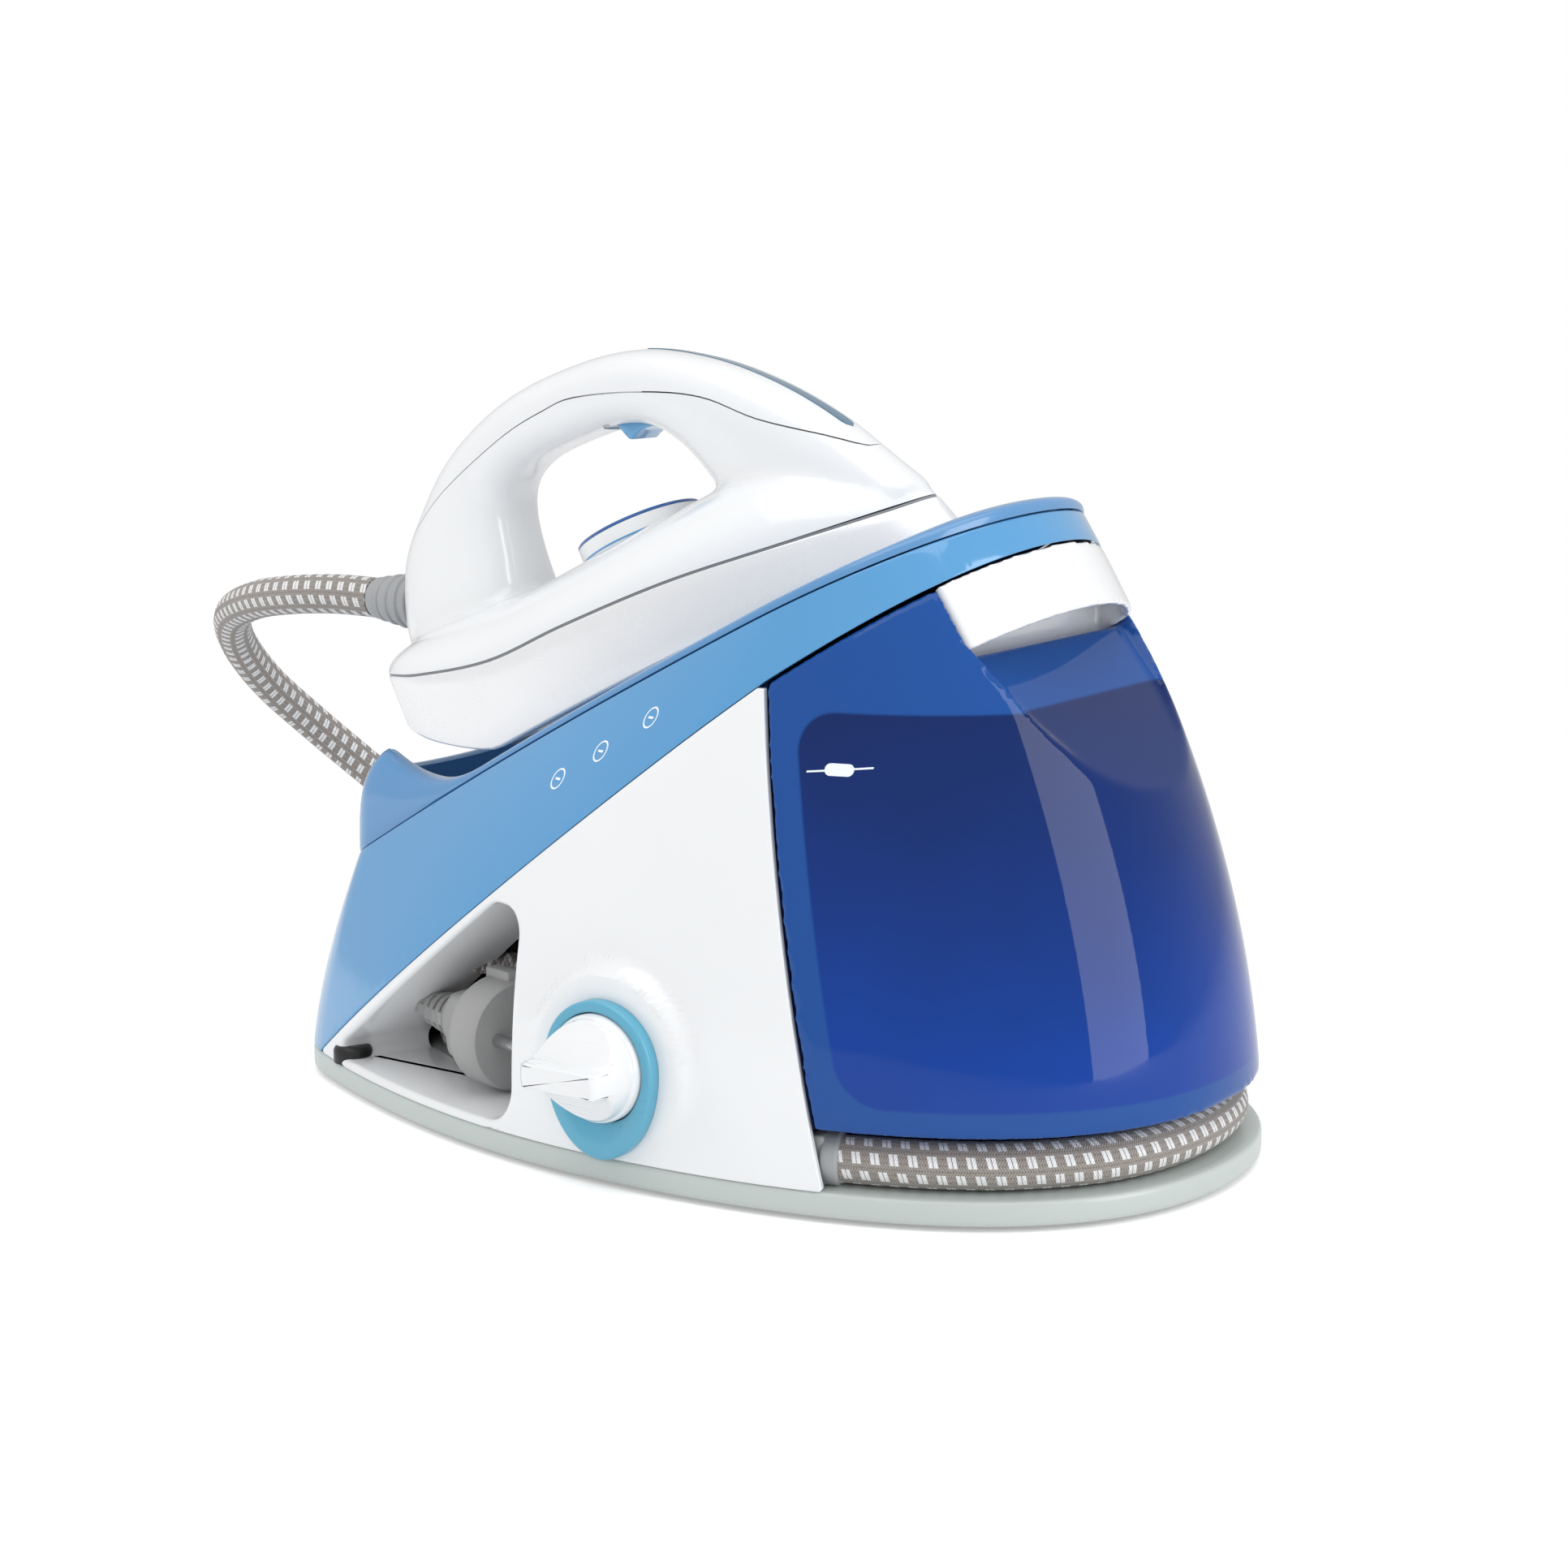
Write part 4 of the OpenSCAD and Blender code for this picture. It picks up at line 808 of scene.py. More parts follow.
class IRON_OT_stage(bpy.types.Operator):
    """Camera, lamps, backdrop and floor"""
    bl_idname = "steam_iron.stage"
    bl_label = "Stage"

    def execute(self, context):
        scene = context.scene
        scene.view_settings.view_transform = "Standard"
        lens = bpy.data.cameras.new("Camera")
        lens.lens, lens.sensor_width = LENS, SENSOR
        lens.clip_end = 30
        camera = bpy.data.objects.new("Camera", lens)
        camera.matrix_world = Matrix.Translation(CAMERA_AT) @ (
            CAMERA_LOOK.to_track_quat("-Z", "Y").to_matrix().to_4x4())
        scene.collection.objects.link(camera)
        scene.camera = camera

        world = bpy.data.worlds.new("Studio")
        world.use_nodes = True
        tree = world.node_tree
        back = tree.nodes["Background"]
        ray = add_node(tree, "ShaderNodeLightPath", {}).outputs
        seen = add_node(tree, "ShaderNodeMath", {
            0: ray["Is Camera Ray"], 1: ray["Is Transmission Ray"]}, operation="MAXIMUM")
        power = add_node(tree, "ShaderNodeMapRange", {
            "Value": seen.outputs[0], "To Min": ROOM_GLOW, "To Max": 1.0})
        tree.links.new(power.outputs[0], back.inputs["Strength"])
        back.inputs["Color"].default_value = (1, 1, 1, 1)
        scene.world = world

        bm = bmesh.new()
        bmesh.ops.create_grid(bm, x_segments=8, y_segments=8, size=3.0)
        mesh = bpy.data.meshes.new("Floor")
        bm.to_mesh(mesh)
        bm.free()
        floor = bpy.data.objects.new("Floor", mesh)
        scene.collection.objects.link(floor)
        r = Recipe("Floor white", Base_Color=(0.93, 0.93, 0.93, 1), Roughness=0.9,
                   Specular_IOR_Level=0.1, Emission_Color=(1, 1, 1, 1))
        seen = r.node("ShaderNodeLightPath", {}).outputs["Is Camera Ray"]
        r.put("Emission Strength", r.mul(seen, FLOOR_GLOW))
        reach = r.node("ShaderNodeVectorMath", {0: r.place}, operation="LENGTH").outputs["Value"]
        fade = r.node("ShaderNodeMapRange", {
            "Value": reach, "From Min": FADE_FROM, "From Max": FADE_TO,
        }, interpolation_type="SMOOTHSTEP").outputs["Result"]
        glow = r.node("ShaderNodeEmission", {})
        blend = r.node("ShaderNodeMixShader", {
            0: r.mul(fade, seen), 1: r.shader.outputs[0], 2: glow.outputs[0]})
        r.tree.links.new(blend.outputs[0], r.tree.nodes["Material Output"].inputs["Surface"])
        mesh.materials.append(r.material)

        area_light("Top soft box", (0.1, -0.2, 1.5), (0, 0, 0.1), (1.6, 1.6), 10)
        left = area_light("Left soft box", (-1.5, -0.9, 0.8), (0, 0, 0.15), (0.9, 1.4), 7)
        area_light("Right strip", (1.40, 0.05, 0.5), (0.1, 0, 0.12), (0.7, 1.3), 9)
        front = area_light("Front fill", (0.5, -1.9, 0.9), (0, 0, 0.12), (1.2, 0.8), 5)
        for lamp in (left, front):
            lamp.visible_glossy = False
        make_finishes()
        return {"FINISHED"}


# ---- cords -----------------------------------------------------------------------
GLAND = (96.0, -94.0, 19.0)
GROOVE_US = (0.62, 0.54, 0.43, 0.28, 0.14, 0, -0.14, -0.28, -0.43, -0.57, -0.71, -0.85, -1,
             -1.28, -1.57)
HOSE_IN = 13.0
CUFF_Z = 177.0
HOSE_FREE = (
    (-130, 78, 19), (-162, 77, 19), (-187, 82, 13), (-209, 97, 9), (-224, 119, 9), (-230, 146, 9),
    (-230, 180, 9), (-230, 215, 9), (-216, 262, 9), (-182, 293, 9), (-142, 303, 9), (-98, 291, 9),
    (-66, 259, 9), (-54, 215, 9), (-66, 171, 9), (-98, 139, 9), (-142, 127, 9), (-175, 128, 12),
    (-205, 131, 19), (-232, 134, 27), (-258, 135, 38), (-283, 131, 54), (-309, 119, 77),
    (-326, 99, 101), (-331, 75, 123), (-323, 50, 144), (-301, 26, 160), (-270, 9, 170),
    (-240, 1, 175), (-215, 0, 177), (-193.3, 0, 177),
)
LEAD_IN = ((-141, -67, 15), (-141, -67, 21), (-137, -67, 32), (-128, -67, 42), (-114, -67, 49),
           (-97, -63, 52), (-80, -51, 52), (-66, -36, 48), (-58, -21, 42), (-56, -7, 39))
LEAD_OUT = ((-102, 20, 39), (-117, 15, 41), (-130, 6, 41.5), (-139, -9, 41.5), (-141, -27, 41.5),
            (-137, -44, 40), (-125, -58, 36), (-112.5, -66, 34))
COIL_AT = (-92.0, -12.0)
# Radius and height of each turn, from where the lead comes in to where it goes out
TURNS = ((36.3, 39), (42, 32.8), (42, 24.8), (42, 16.8), (34, 16.8), (34, 24.8), (34, 32.8),
         (33.5, 39))
HOSE_R, LEAD_R = 8.0, 4.0
# Where the lead comes up through the base plate
GROMMET = (-141, -76)
PLUG_AT = (-84, -73, 34.5)
# x, half width, half height and squareness of the plug's sections
PLUG_SECTIONS = (
    (-6, 8.0, 8.0, 0.7), (-5.4, 9.0, 9.0, 0.7), (0.6, 9.4, 9.4, 0.6), (1.4, 12.0, 12.0, 0.45),
    (2.2, 12.6, 12.6, 0.42), (10.6, 13.6, 13.4, 0.42), (12.0, 14.6, 14.0, 0.5),
    (13.4, 18.4, 18.0, 0.8), (14.8, 20.0, 20.0, 1.0), (16.0, 20.5, 20.5, 1.0),
    (28.6, 20.5, 20.5, 1.0), (30, 19.4, 19.4, 1.0),
)
RELIEF_END = -6.1


def coil_points():
    """The stowed turns: down the outside of the coil and up its inside."""
    start = math.atan2(LEAD_IN[-1][1] - COIL_AT[1], LEAD_IN[-1][0] - COIL_AT[0])
    stop = math.atan2(LEAD_OUT[0][1] - COIL_AT[1], LEAD_OUT[0][0] - COIL_AT[0])
    total = stop - start + 2 * math.pi * (len(TURNS) - 2)
    steps = 16 * (len(TURNS) - 1)
    out = []
    for k in range(1, steps + 1):
        angle = total * k / steps
        turn, share = divmod(angle / (2 * math.pi), 1)
        low, high = TURNS[int(turn)], TURNS[min(int(turn) + 1, len(TURNS) - 1)]
        ease = smooth(share * 4)
        r, z = lerp(low[0], high[0], ease), lerp(low[1], high[1], ease)
        w = start + angle
        out.append((COIL_AT[0] + r * math.cos(w), COIL_AT[1] + r * math.sin(w), z))
    return out


def hose_points():
    groove = []
    for u in GROOVE_US:
        p = half_outline(BASE, u) - HOSE_IN * outline_normal(BASE, u)
        groove.append((p.x, p.y, GLAND[2]))
    return [GLAND, *groove, *HOSE_FREE]


def through(points, gap=2.5):
    """A smooth line through the points, with a point about every gap."""
    pts = [Vector(p) for p in points]
    out = []
    for i in range(len(pts) - 1):
        a, b = pts[max(0, i - 1)], pts[i]
        c, d = pts[i + 1], pts[min(len(pts) - 1, i + 2)]
        n = max(2, round((c - b).length / gap))
        out += [catmull(a, b, c, d, k / n) for k in range(n)]
    return out + [pts[-1]]


def flat_curve(points, gap):
    """A smooth line through flat points."""
    return [(p.x, p.y) for p in through([(*p, 0) for p in points], gap)]


def sleeve_tube(name, pts, radius, finish, body, nodes=(), sides=24):
    """A round tube along the points; its UV holds millimetres along it and turns round it."""
    bm = bmesh.new()
    layer = bm.loops.layers.uv.new("Along")
    across = Vector((0, 0, 1))
    loops, marks, run = [], [], 0.0
    for i, p in enumerate(pts):
        t = (pts[min(len(pts) - 1, i + 1)] - pts[max(0, i - 1)]).normalized()
        across = (across - t * across.dot(t)).normalized()
        side = t.cross(across)
        turns = [2 * math.pi * k / sides for k in range(sides)]
        circle = [p + radius * (math.cos(w) * across + math.sin(w) * side) for w in turns]
        if not loops:
            loops.append(ring(bm, circle))
        else:
            run += (p - pts[i - 1]).length
            loops.append(pull(bm, loops[-1], circle))
        marks.append(run)
    where = {v: (marks[i], k / sides) for i, loop in enumerate(loops) for k, v in enumerate(loop)}
    for f in bm.faces:
        spots = [where[l.vert] for l in f.loops]
        wraps = max(s[1] for s in spots) > 0.9 and min(s[1] for s in spots) < 0.1
        for l, (along, about) in zip(f.loops, spots):
            l[layer].uv = (along, about + 1 if wraps and about < 0.5 else about)
    for loop in (loops[0], loops[-1]):
        bmesh.ops.contextual_create(bm, geom=ring_edges(loop))
    bmesh.ops.recalc_face_normals(bm, faces=bm.faces)
    return add_piece(name, bm, finish, body, nodes, sharp=60)


class IRON_OT_hose(bpy.types.Operator):
    """Braided steam hose with its gland and cuff"""
    bl_idname = "steam_iron.hose"
    bl_label = "Steam hose"

    def execute(self, context):
        pts = through(hose_points())
        hose = sleeve_tube("SteamHose", pts, HOSE_R, "hose", "station", ("steam_hose",))
        gland = turned([(0, -6), (8.6, -6), (9.2, -5.2), (9.2, -0.9), (8.4, 0), (0, 0)],
                       axis="X", segments=40)
        join(gland, soften(prism(oblong(-14, -6.4, -5, 8.5),
                                 PLATE_TOP + 0.1 - GLAND[2], 8.9, "XY"), 1.0))
        start = pts[1] - pts[0]
        turn = Matrix.Rotation(math.atan2(start.y, start.x), 4, "Z")
        gland.transform(Matrix.Translation(GLAND) @ turn)
        add_piece("HoseGland", gland, "grey", "station", ("hose_gland",))
        cuff = turned(cuff_profile(), segments=48, axis="X", at=(0, 0, CUFF_Z))
        cuff = add_piece("HoseCuff", cuff, "grey", "iron", ("hose_cuff",), sharp=30)
        return {"FINISHED"}


def cuff_profile():
    """Bored sleeve with five ribs, growing towards the iron."""
    def body(x):
        return lerp(8.2, 12.0, (x + 193) / 34)
    out = [(3.6, -159), (3.6, -190), (4.6, -193), (7.6, -193), (body(-191.6), -191.6)]
    for i in range(5):
        x, r = -188 + 5.6 * i, 9.2 + 0.95 * i
        out += [(body(x), x - 0.2), (r - 0.5, x), (r, x + 0.6), (r, x + 2.2), (r - 0.5, x + 2.8),
                (body(x + 3), x + 3)]
    return out + [(12.4, -160), (13.0, -159.4), (13.0, -157.6), (12.6, -157), (3.6, -157)]


class IRON_OT_lead(bpy.types.Operator):
    """Braided mains lead, stowed in its pocket, with its plug"""
    bl_idname = "steam_iron.lead"
    bl_label = "Mains lead"

    def execute(self, context):
        pts = through([*LEAD_IN, *coil_points(), *LEAD_OUT[1:]])
        lead = sleeve_tube("MainsLead", pts, LEAD_R, "lead", "station",
                           ("mains_lead", "mains_coil"), sides=16)
        plug, relief = plug_pieces()
        grommet = turned([(0, 0), (7.4, 0), (7.4, 4.6), (6.6, 6.0), (5.4, 6.5), (0, 6.5)],
                         at=(*GROMMET, PLATE_TOP + 0.1), segments=48)
        add_piece("CordGrommet", grommet, "black", "station", ("cord_grommet",))
        return {"FINISHED"}


def superellipse(half_w, half_h, power):
    n = 40
    out = []
    for k in range(n):
        c, s = math.cos(2 * math.pi * k / n), math.sin(2 * math.pi * k / n)
        out.append((half_w * swell(c, power), half_h * swell(s, power)))
    return out


def plug_pieces():
    place = Matrix.Translation(PLUG_AT) @ Matrix.Rotation(math.radians(-14), 4, "Z")
    body = loft([[(x, y, z) for y, z in superellipse(w, h, k)] for x, w, h, k in PLUG_SECTIONS])
    body = join(body, soften(prism(oblong(14, -3, 28, 3), 18, 23.5, "XY"), 0.8))
    plug = add_piece("MainsPlug", body, "plug", "station", ("mains_plug",), place=place)
    core = turned([(0, -28), (4.6, -28), (5.2, -27.4), (6.6, RELIEF_END), (0, RELIEF_END)],
                  axis="X", segments=32)
    shell = []
    for i in range(5):
        x0, x1 = -28 + 5.0 * i, min(-25 + 5.0 * i, RELIEF_END)
        r0, r1 = (lerp(5.5, 9.0, (x + 28) / 22) for x in (x0, x1))
        band = [(4.0, x0), (r0 - 0.5, x0), (r0, x0 + 0.5),
                (r1, x1 - 0.5), (r1 - 0.5, x1), (4.0, x1)]
        shell.append(turned(band, axis="X", segments=32))
    web = soften(prism(oblong(-27, -1.6, -6.2, 1.6), -6.4, 6.4, "XY"), 0.4)
    sides = [(-27.5, -5.2), (-6.2, -8.6), (-6.2, 8.6), (-27.5, 5.2)]
    relief = join(core, *shell, web, soften(prism(sides, -2.5, 2.5, "XY"), 0.5))
    relief = add_piece("PlugRelief", relief, "plug", "station", ("plug_relief",), place=place)
    return plug, relief


# ---- covers of the station ----------------------------------------------------------
SWITCH = (Matrix.Translation((-52, 100.5, 74)) @ Matrix.Rotation(math.radians(14.4), 4, "Z")
          @ Matrix.Rotation(math.radians(16.5), 4, "X"))
MARKS = ((-32.6, 131.8), (-12.5, 143.7), (9.6, 157.5))
MARK_R = 3.7
FEET = ((118, 62), (118, -62), (-128, 44), (-128, -44))
POCKET_DEPTH = 36.0
# The calc boss is flat to this radius and then blends into the wall
BOSS_R, BOSS_BLEND = 30.5, 6.0
# Thickness, edge rounding and height above the surface of a printed mark
PRINT_WALL, PRINT_LIP, PRINT_PROUD = 0.3, 0.04, 0.12


def panel_outline(bottom):
    """Side panel seen from the side, as (x, z)."""
    top = KNEE_Z - 2
    corners = [(diag_x(bottom) + SEAM, bottom, 1.2), (edge_x(bottom), bottom, 1.2),
               (edge_x(top), top, 0.7), (diag_x(top) + SEAM, top, 0.7)]
    return [(round_at(x, z), z) for x, z in filled_in(rounded(corners))]


def near_wall(a, z, depth):
    """The near wall, pushed out to the flat face of the calc boss."""
    p = wrap(a, z, depth)
    reach = math.dist((p.x, p.z), CALC)
    share = 1 - smooth((reach - BOSS_R) / BOSS_BLEND)
    p.y = lerp(p.y, min(p.y, BOSS_Y + depth), share)
    return p


def circle(at, r, n=72):
    turns = [2 * math.pi * k / n for k in range(n)]
    return [(at[0] + r * math.cos(t), at[1] + r * math.sin(t)) for t in turns]


def printed_patch(outline, holes=()):
    return cover(outline, holes, PRINT_WALL, lip=PRINT_LIP, cell=20,
                 warp=lambda a, z, depth: wrap(a, z, depth - PRINT_PROUD))


class IRON_OT_panels(bpy.types.Operator):
    """White side panels, with the pocket's mouth and the calc boss"""
    bl_idname = "steam_iron.panels"
    bl_label = "Side panels"

    def execute(self, context):
        s = sizes()
        mouth = [(round_at(x, z), z) for x, z in filled_in(rounded(POCKET, 10))]
        port = [(round_at(x, z), z) for x, z in circle(CALC, 20.3)]
        holes = [(mouth, s.mouth_lip, POCKET_DEPTH), (port, 0.5, WALL)]
        near = cover(panel_outline(PLATE_TOP + 0.1), holes, lip=s.seam_lip, cell=s.cell * 0.42,
                     warp=near_wall)
        hole = turned(oblong(0, 0, 7.6, 7.0), at=(*GROMMET, PLATE_TOP), segments=48)
        add_piece("NearPanel", cut(near, hole), "white", "station", ("side_panel_near",))
        far = cover(panel_outline(GROOVE_TOP + 0.1), lip=s.seam_lip, cell=s.cell,
                    warp=lambda a, z, depth: wrap(-a, z, depth))
        window = prism(oblong(-14.5, -30, 14.5, 30), -10, 10, "XY")
        window.transform(SWITCH)
        add_piece("FarPanel", cut(far, window), "white", "station", ("side_panel_far",))
        return {"FINISHED"}


class IRON_OT_shell(bpy.types.Operator):
    """Light blue upper shell with three bare marks"""
    bl_idname = "steam_iron.shell"
    bl_label = "Upper shell"

    def execute(self, context):
        over = 6.0
        knee = round_at(KNEE_X, KNEE_Z)
        bottom = PLATE_TOP + 0.1
        pts = [(a, band_height(a)) for a in (lerp(-over, knee, k / 60) for k in range(61))]
        for k in range(1, 61):
            z = lerp(KNEE_Z, bottom, k / 60)
            pts.append((round_at(diag_x(z), z), z))
        pts.append((HALF_GIRTH + over, bottom))
        for k in range(121):
            a = lerp(HALF_GIRTH + over, -over, k / 120)
            pts.append((a, env(u_at(a), 1).z))
        shell = mirrored(cover(filled_in(pts), lip=sizes().seam_lip, cell=sizes().cell, warp=wrap))
        notch = prism(oblong(-260, 22, -100, 200), 0, GROOVE_TOP, "XY")
        add_piece("UpperShell", cut(shell, notch), "band", "station", ("upper_shell",))
        for i, (x, z) in enumerate(MARKS):
            a = round_at(x, z)
            inner = circle((a, z), MARK_R - 0.6, 48)
            mark = printed_patch(circle((a, z), MARK_R, 48), [(inner, PRINT_LIP, PRINT_WALL)])
            bar = oblong(a - 1.6, z - 0.4, a + 1.6, z + 0.4)
            dot = printed_patch(rounded([(*p, 0.35) for p in bar]))
            piece = add_piece(f"Mark{i + 1}", join(mark, dot), "print", "station")
        return {"FINISHED"}


class IRON_OT_base(bpy.types.Operator):
    """Base plate with its rounded rim, and the rubber feet"""
    bl_idname = "steam_iron.base"
    bl_label = "Base plate"

    def execute(self, context):
        def outline(off, z):
            out = []
            for u in all_round(240):
                p = half_outline(BASE, u) - off * outline_normal(BASE, u)
                out.append((p.x, p.y, z))
            return out
        steps = [(7, 8.5), (4.6, 8.5), (4, 7.9), (4, 2.5), (3.5, 2), (1.4, 2), (0.5, 2.3), (0.1, 3),
                 (0, 4), (0, 8.6), (0.15, 9.5), (0.6, 10.2), (1.3, 10.5), (4, 10.5), (24, 10.5)]
        plate = loft([outline(off, z) for off, z in steps])
        socket = [(8.05, 4), (8.05, 2.2), (8.3, 2), (10.7, 2), (11, 2.3), (11, 9), (8.05, 9)]
        plate = join(plate, *[turned(socket, at=(x, y, 0)) for x, y in FEET])
        add_piece("BasePlate", plate, "pale", "station", ("base_plate",))
        feet = join(bmesh.new(), *[
            turned([(0, 0), (6.6, 0), (7.5, 0.4), (8, 1.3), (8, 4), (0, 4)], at=(x, y, 0))
            for x, y in FEET])
        add_piece("Feet", feet, "rubber", "station", ("base_feet",))
        return {"FINISHED"}


def lip_rise(x):
    return 4 + 33 * clamp01((-85 - x) / 62) ** 2


def lip_run(u):
    return lerp(3, 13, clamp01(abs(u) / 2.2))


class IRON_OT_deck(bpy.types.Operator):
    """Blue deck under the iron, with its raised heel wall"""
    bl_idname = "steam_iron.deck"
    bl_label = "Deck"

    def execute(self, context):
        def deck(u, off, k):
            p = env(u, 1, off)
            return (p.x, p.y, p.z + SEAM + k * lip_rise(p.x))

        def floor(u, off, drop):
            p = env(u, 1, off)
            return (p.x, p.y, RIM_H + 0.5 * p.x + 1 - drop - 12 * smooth((-90 - p.x) / 60))

        def blend(u, k):
            """From the inner edge of the lip down to the floor."""
            a, b = Vector(deck(u, lip_run(u) + 2.2, 0.97)), Vector(floor(u, lip_run(u) + 8, 0))
            return (lerp(a.x, b.x, k), lerp(a.y, b.y, k), lerp(a.z, b.z, 1 - (1 - k) ** 2.2))

        us = all_round(200)
        rings = [[floor(u, lip_run(u) + run, 2.2) for u in us] for run in (10, 6)]
        rings += [[deck(u, off, k) for u in us] for off, k in ((3, 0), (0.6, 0), (0.2, 0.04))]
        for k in range(1, 11):
            w = math.pi / 2 * k / 10
            rings.append([deck(u, 0.2 + (lip_run(u) - 0.2) * (1 - math.cos(w)) ** 1.4,
                               math.sin(w) ** 0.9) for u in us])
        rings.append([deck(u, lip_run(u) + 1.0, 0.998) for u in us])
        rings += [[blend(u, k / 8) for u in us] for k in range(9)]
        rings.append([floor(u, 40, 0) for u in us])
        add_piece("Deck", loft(rings), "deck", "station", ("iron_deck",))
        return {"FINISHED"}


# ---- tank --------------------------------------------------------------------------------
# Right half of the finger recess seen from the front, from its top down to its middle
SCOOP_HALF = ((50, 216), (52.8, 186), (50, 176), (46, 165), (40, 155), (33, 146), (25, 140),
              (12, 137.2))
SCOOP_X = 162.0
LEVEL_FROM, LEVEL_TO = (78.0, 146.5), (99.6, 148.8)
# Half height of the level line, and half length, half height and corner radius of its label
LEVEL_HALF = 0.3
LABEL = (4.8, 2, 1.9)
SCOOP_Z = 137.0
# Beyond the front of the tank
FAR = 260


def front_bulk(off):
    """The front half of the station's closed bulk, off inside its surface."""
    steps, n = 30, 150
    below_foot = -0.03
    us = [1 - 2 * k / (n - 1) for k in range(n)]
    shares = [lerp(below_foot, 1.0, k / steps) for k in range(steps + 1)]
    return loft([[tuple(env(u, s, off)) for u in us] for s in shares])


def band_wedge(drop_low, drop_high, x0, half):
    """Wedge along the band line, between two drops below it."""
    return prism([(x0, band_z(x0) - drop_low), (FAR, band_z(FAR) - drop_low),
                  (FAR, band_z(FAR) - drop_high), (x0, band_z(x0) - drop_high)], -half, half)


def scoop(grow):
    """Finger recess: a rounded U seen from the front, with a back that slopes forwards."""
    half = flat_curve(SCOOP_HALF, 3)
    outline = [(y + grow, z) for y, z in half] + [(-y - grow, z) for y, z in reversed(half)]
    low = min(z for _, z in outline)
    outline = [(y, z - grow * smooth((190 - z) / 40)) for y, z in outline]
    back = SCOOP_Z + SCOOP_X - GRIP_X + SEAM
    side = prism([(SCOOP_X - grow, low - grow), (FAR, low - grow), (FAR, 230),
                  (GRIP_X - SEAM - grow, 230), (GRIP_X - SEAM - grow, back)], -100, 100)
    return overlap(prism(outline, 0, FAR, "YZ"), side)


def tank_bulk(off):
    """The tank's outer form (off 0) or its inner space (off one wall)."""
    floor = TANK_FLOOR + off
    gap = TANK_GAP + off
    outline = prism([(edge_x(floor) + gap, floor), (FAR, floor), (FAR, band_z(FAR) - SEAM - off),
                     (KNEE_X + gap, band_z(KNEE_X) - SEAM - off)], -160, 160)
    bulk = overlap(front_bulk(off), outline)
    grip = band_wedge(-1 - off, GRIP_H + SEAM + off, GRIP_X - SEAM - off, GRIP_HALF + SEAM + off)
    return cut(bulk, grip, scoop(off))


class IRON_OT_tank(bpy.types.Operator):
    """Deep blue water tank with its level mark, and the white grip band"""
    bl_idname = "steam_iron.tank"
    bl_label = "Water tank"

    def execute(self, context):
        shell = smoothed(tank_bulk(0.0), 1.25, 16)
        hollow = tank_bulk(TANK_WALL)
        bmesh.ops.reverse_faces(hollow, faces=hollow.faces)
        join(shell, hollow)
        add_piece("TankShell", shell, "tank", "tank", ("tank_shell",), sharp=30)
        (x0, z0), (x1, z1) = LEVEL_FROM, LEVEL_TO
        line = prism([(x0, z0 - LEVEL_HALF), (x1, z1 - LEVEL_HALF), (x1, z1 + LEVEL_HALF),
                      (x0, z0 + LEVEL_HALF)], -160, -20)
        xm, zm = (x0 + x1) / 2, (z0 + z1) / 2
        long, tall, bend = LABEL
        label = oblong(xm - long, zm - tall, xm + long, zm + tall)
        pill = prism(rounded([(*p, bend) for p in label]), -160, -20)
        printed = overlap(front_bulk(-0.2), cut(line, pill, operation="UNION"))
        printed = cut(printed, front_bulk(0.3))
        add_piece("LevelMark", printed, "print", "tank")

        grip = overlap(front_bulk(0.0), band_wedge(SEAM, GRIP_H, GRIP_X, GRIP_HALF))
        hand = overlap(front_bulk(3.2),
                       band_wedge(SEAM + 3, GRIP_H + 4, GRIP_X + 3, GRIP_HALF - 3))
        grip = smoothed(cut(grip, hand), 1.1, 7)
        add_piece("TankGrip", grip, "white", "tank", ("tank_grip",), sharp=50)
        return {"FINISHED"}


# ---- calc collector ---------------------------------------------------------------------
RING_R = 23.0
RING_DEPTH = 4.9
KNOB_R = 18.8


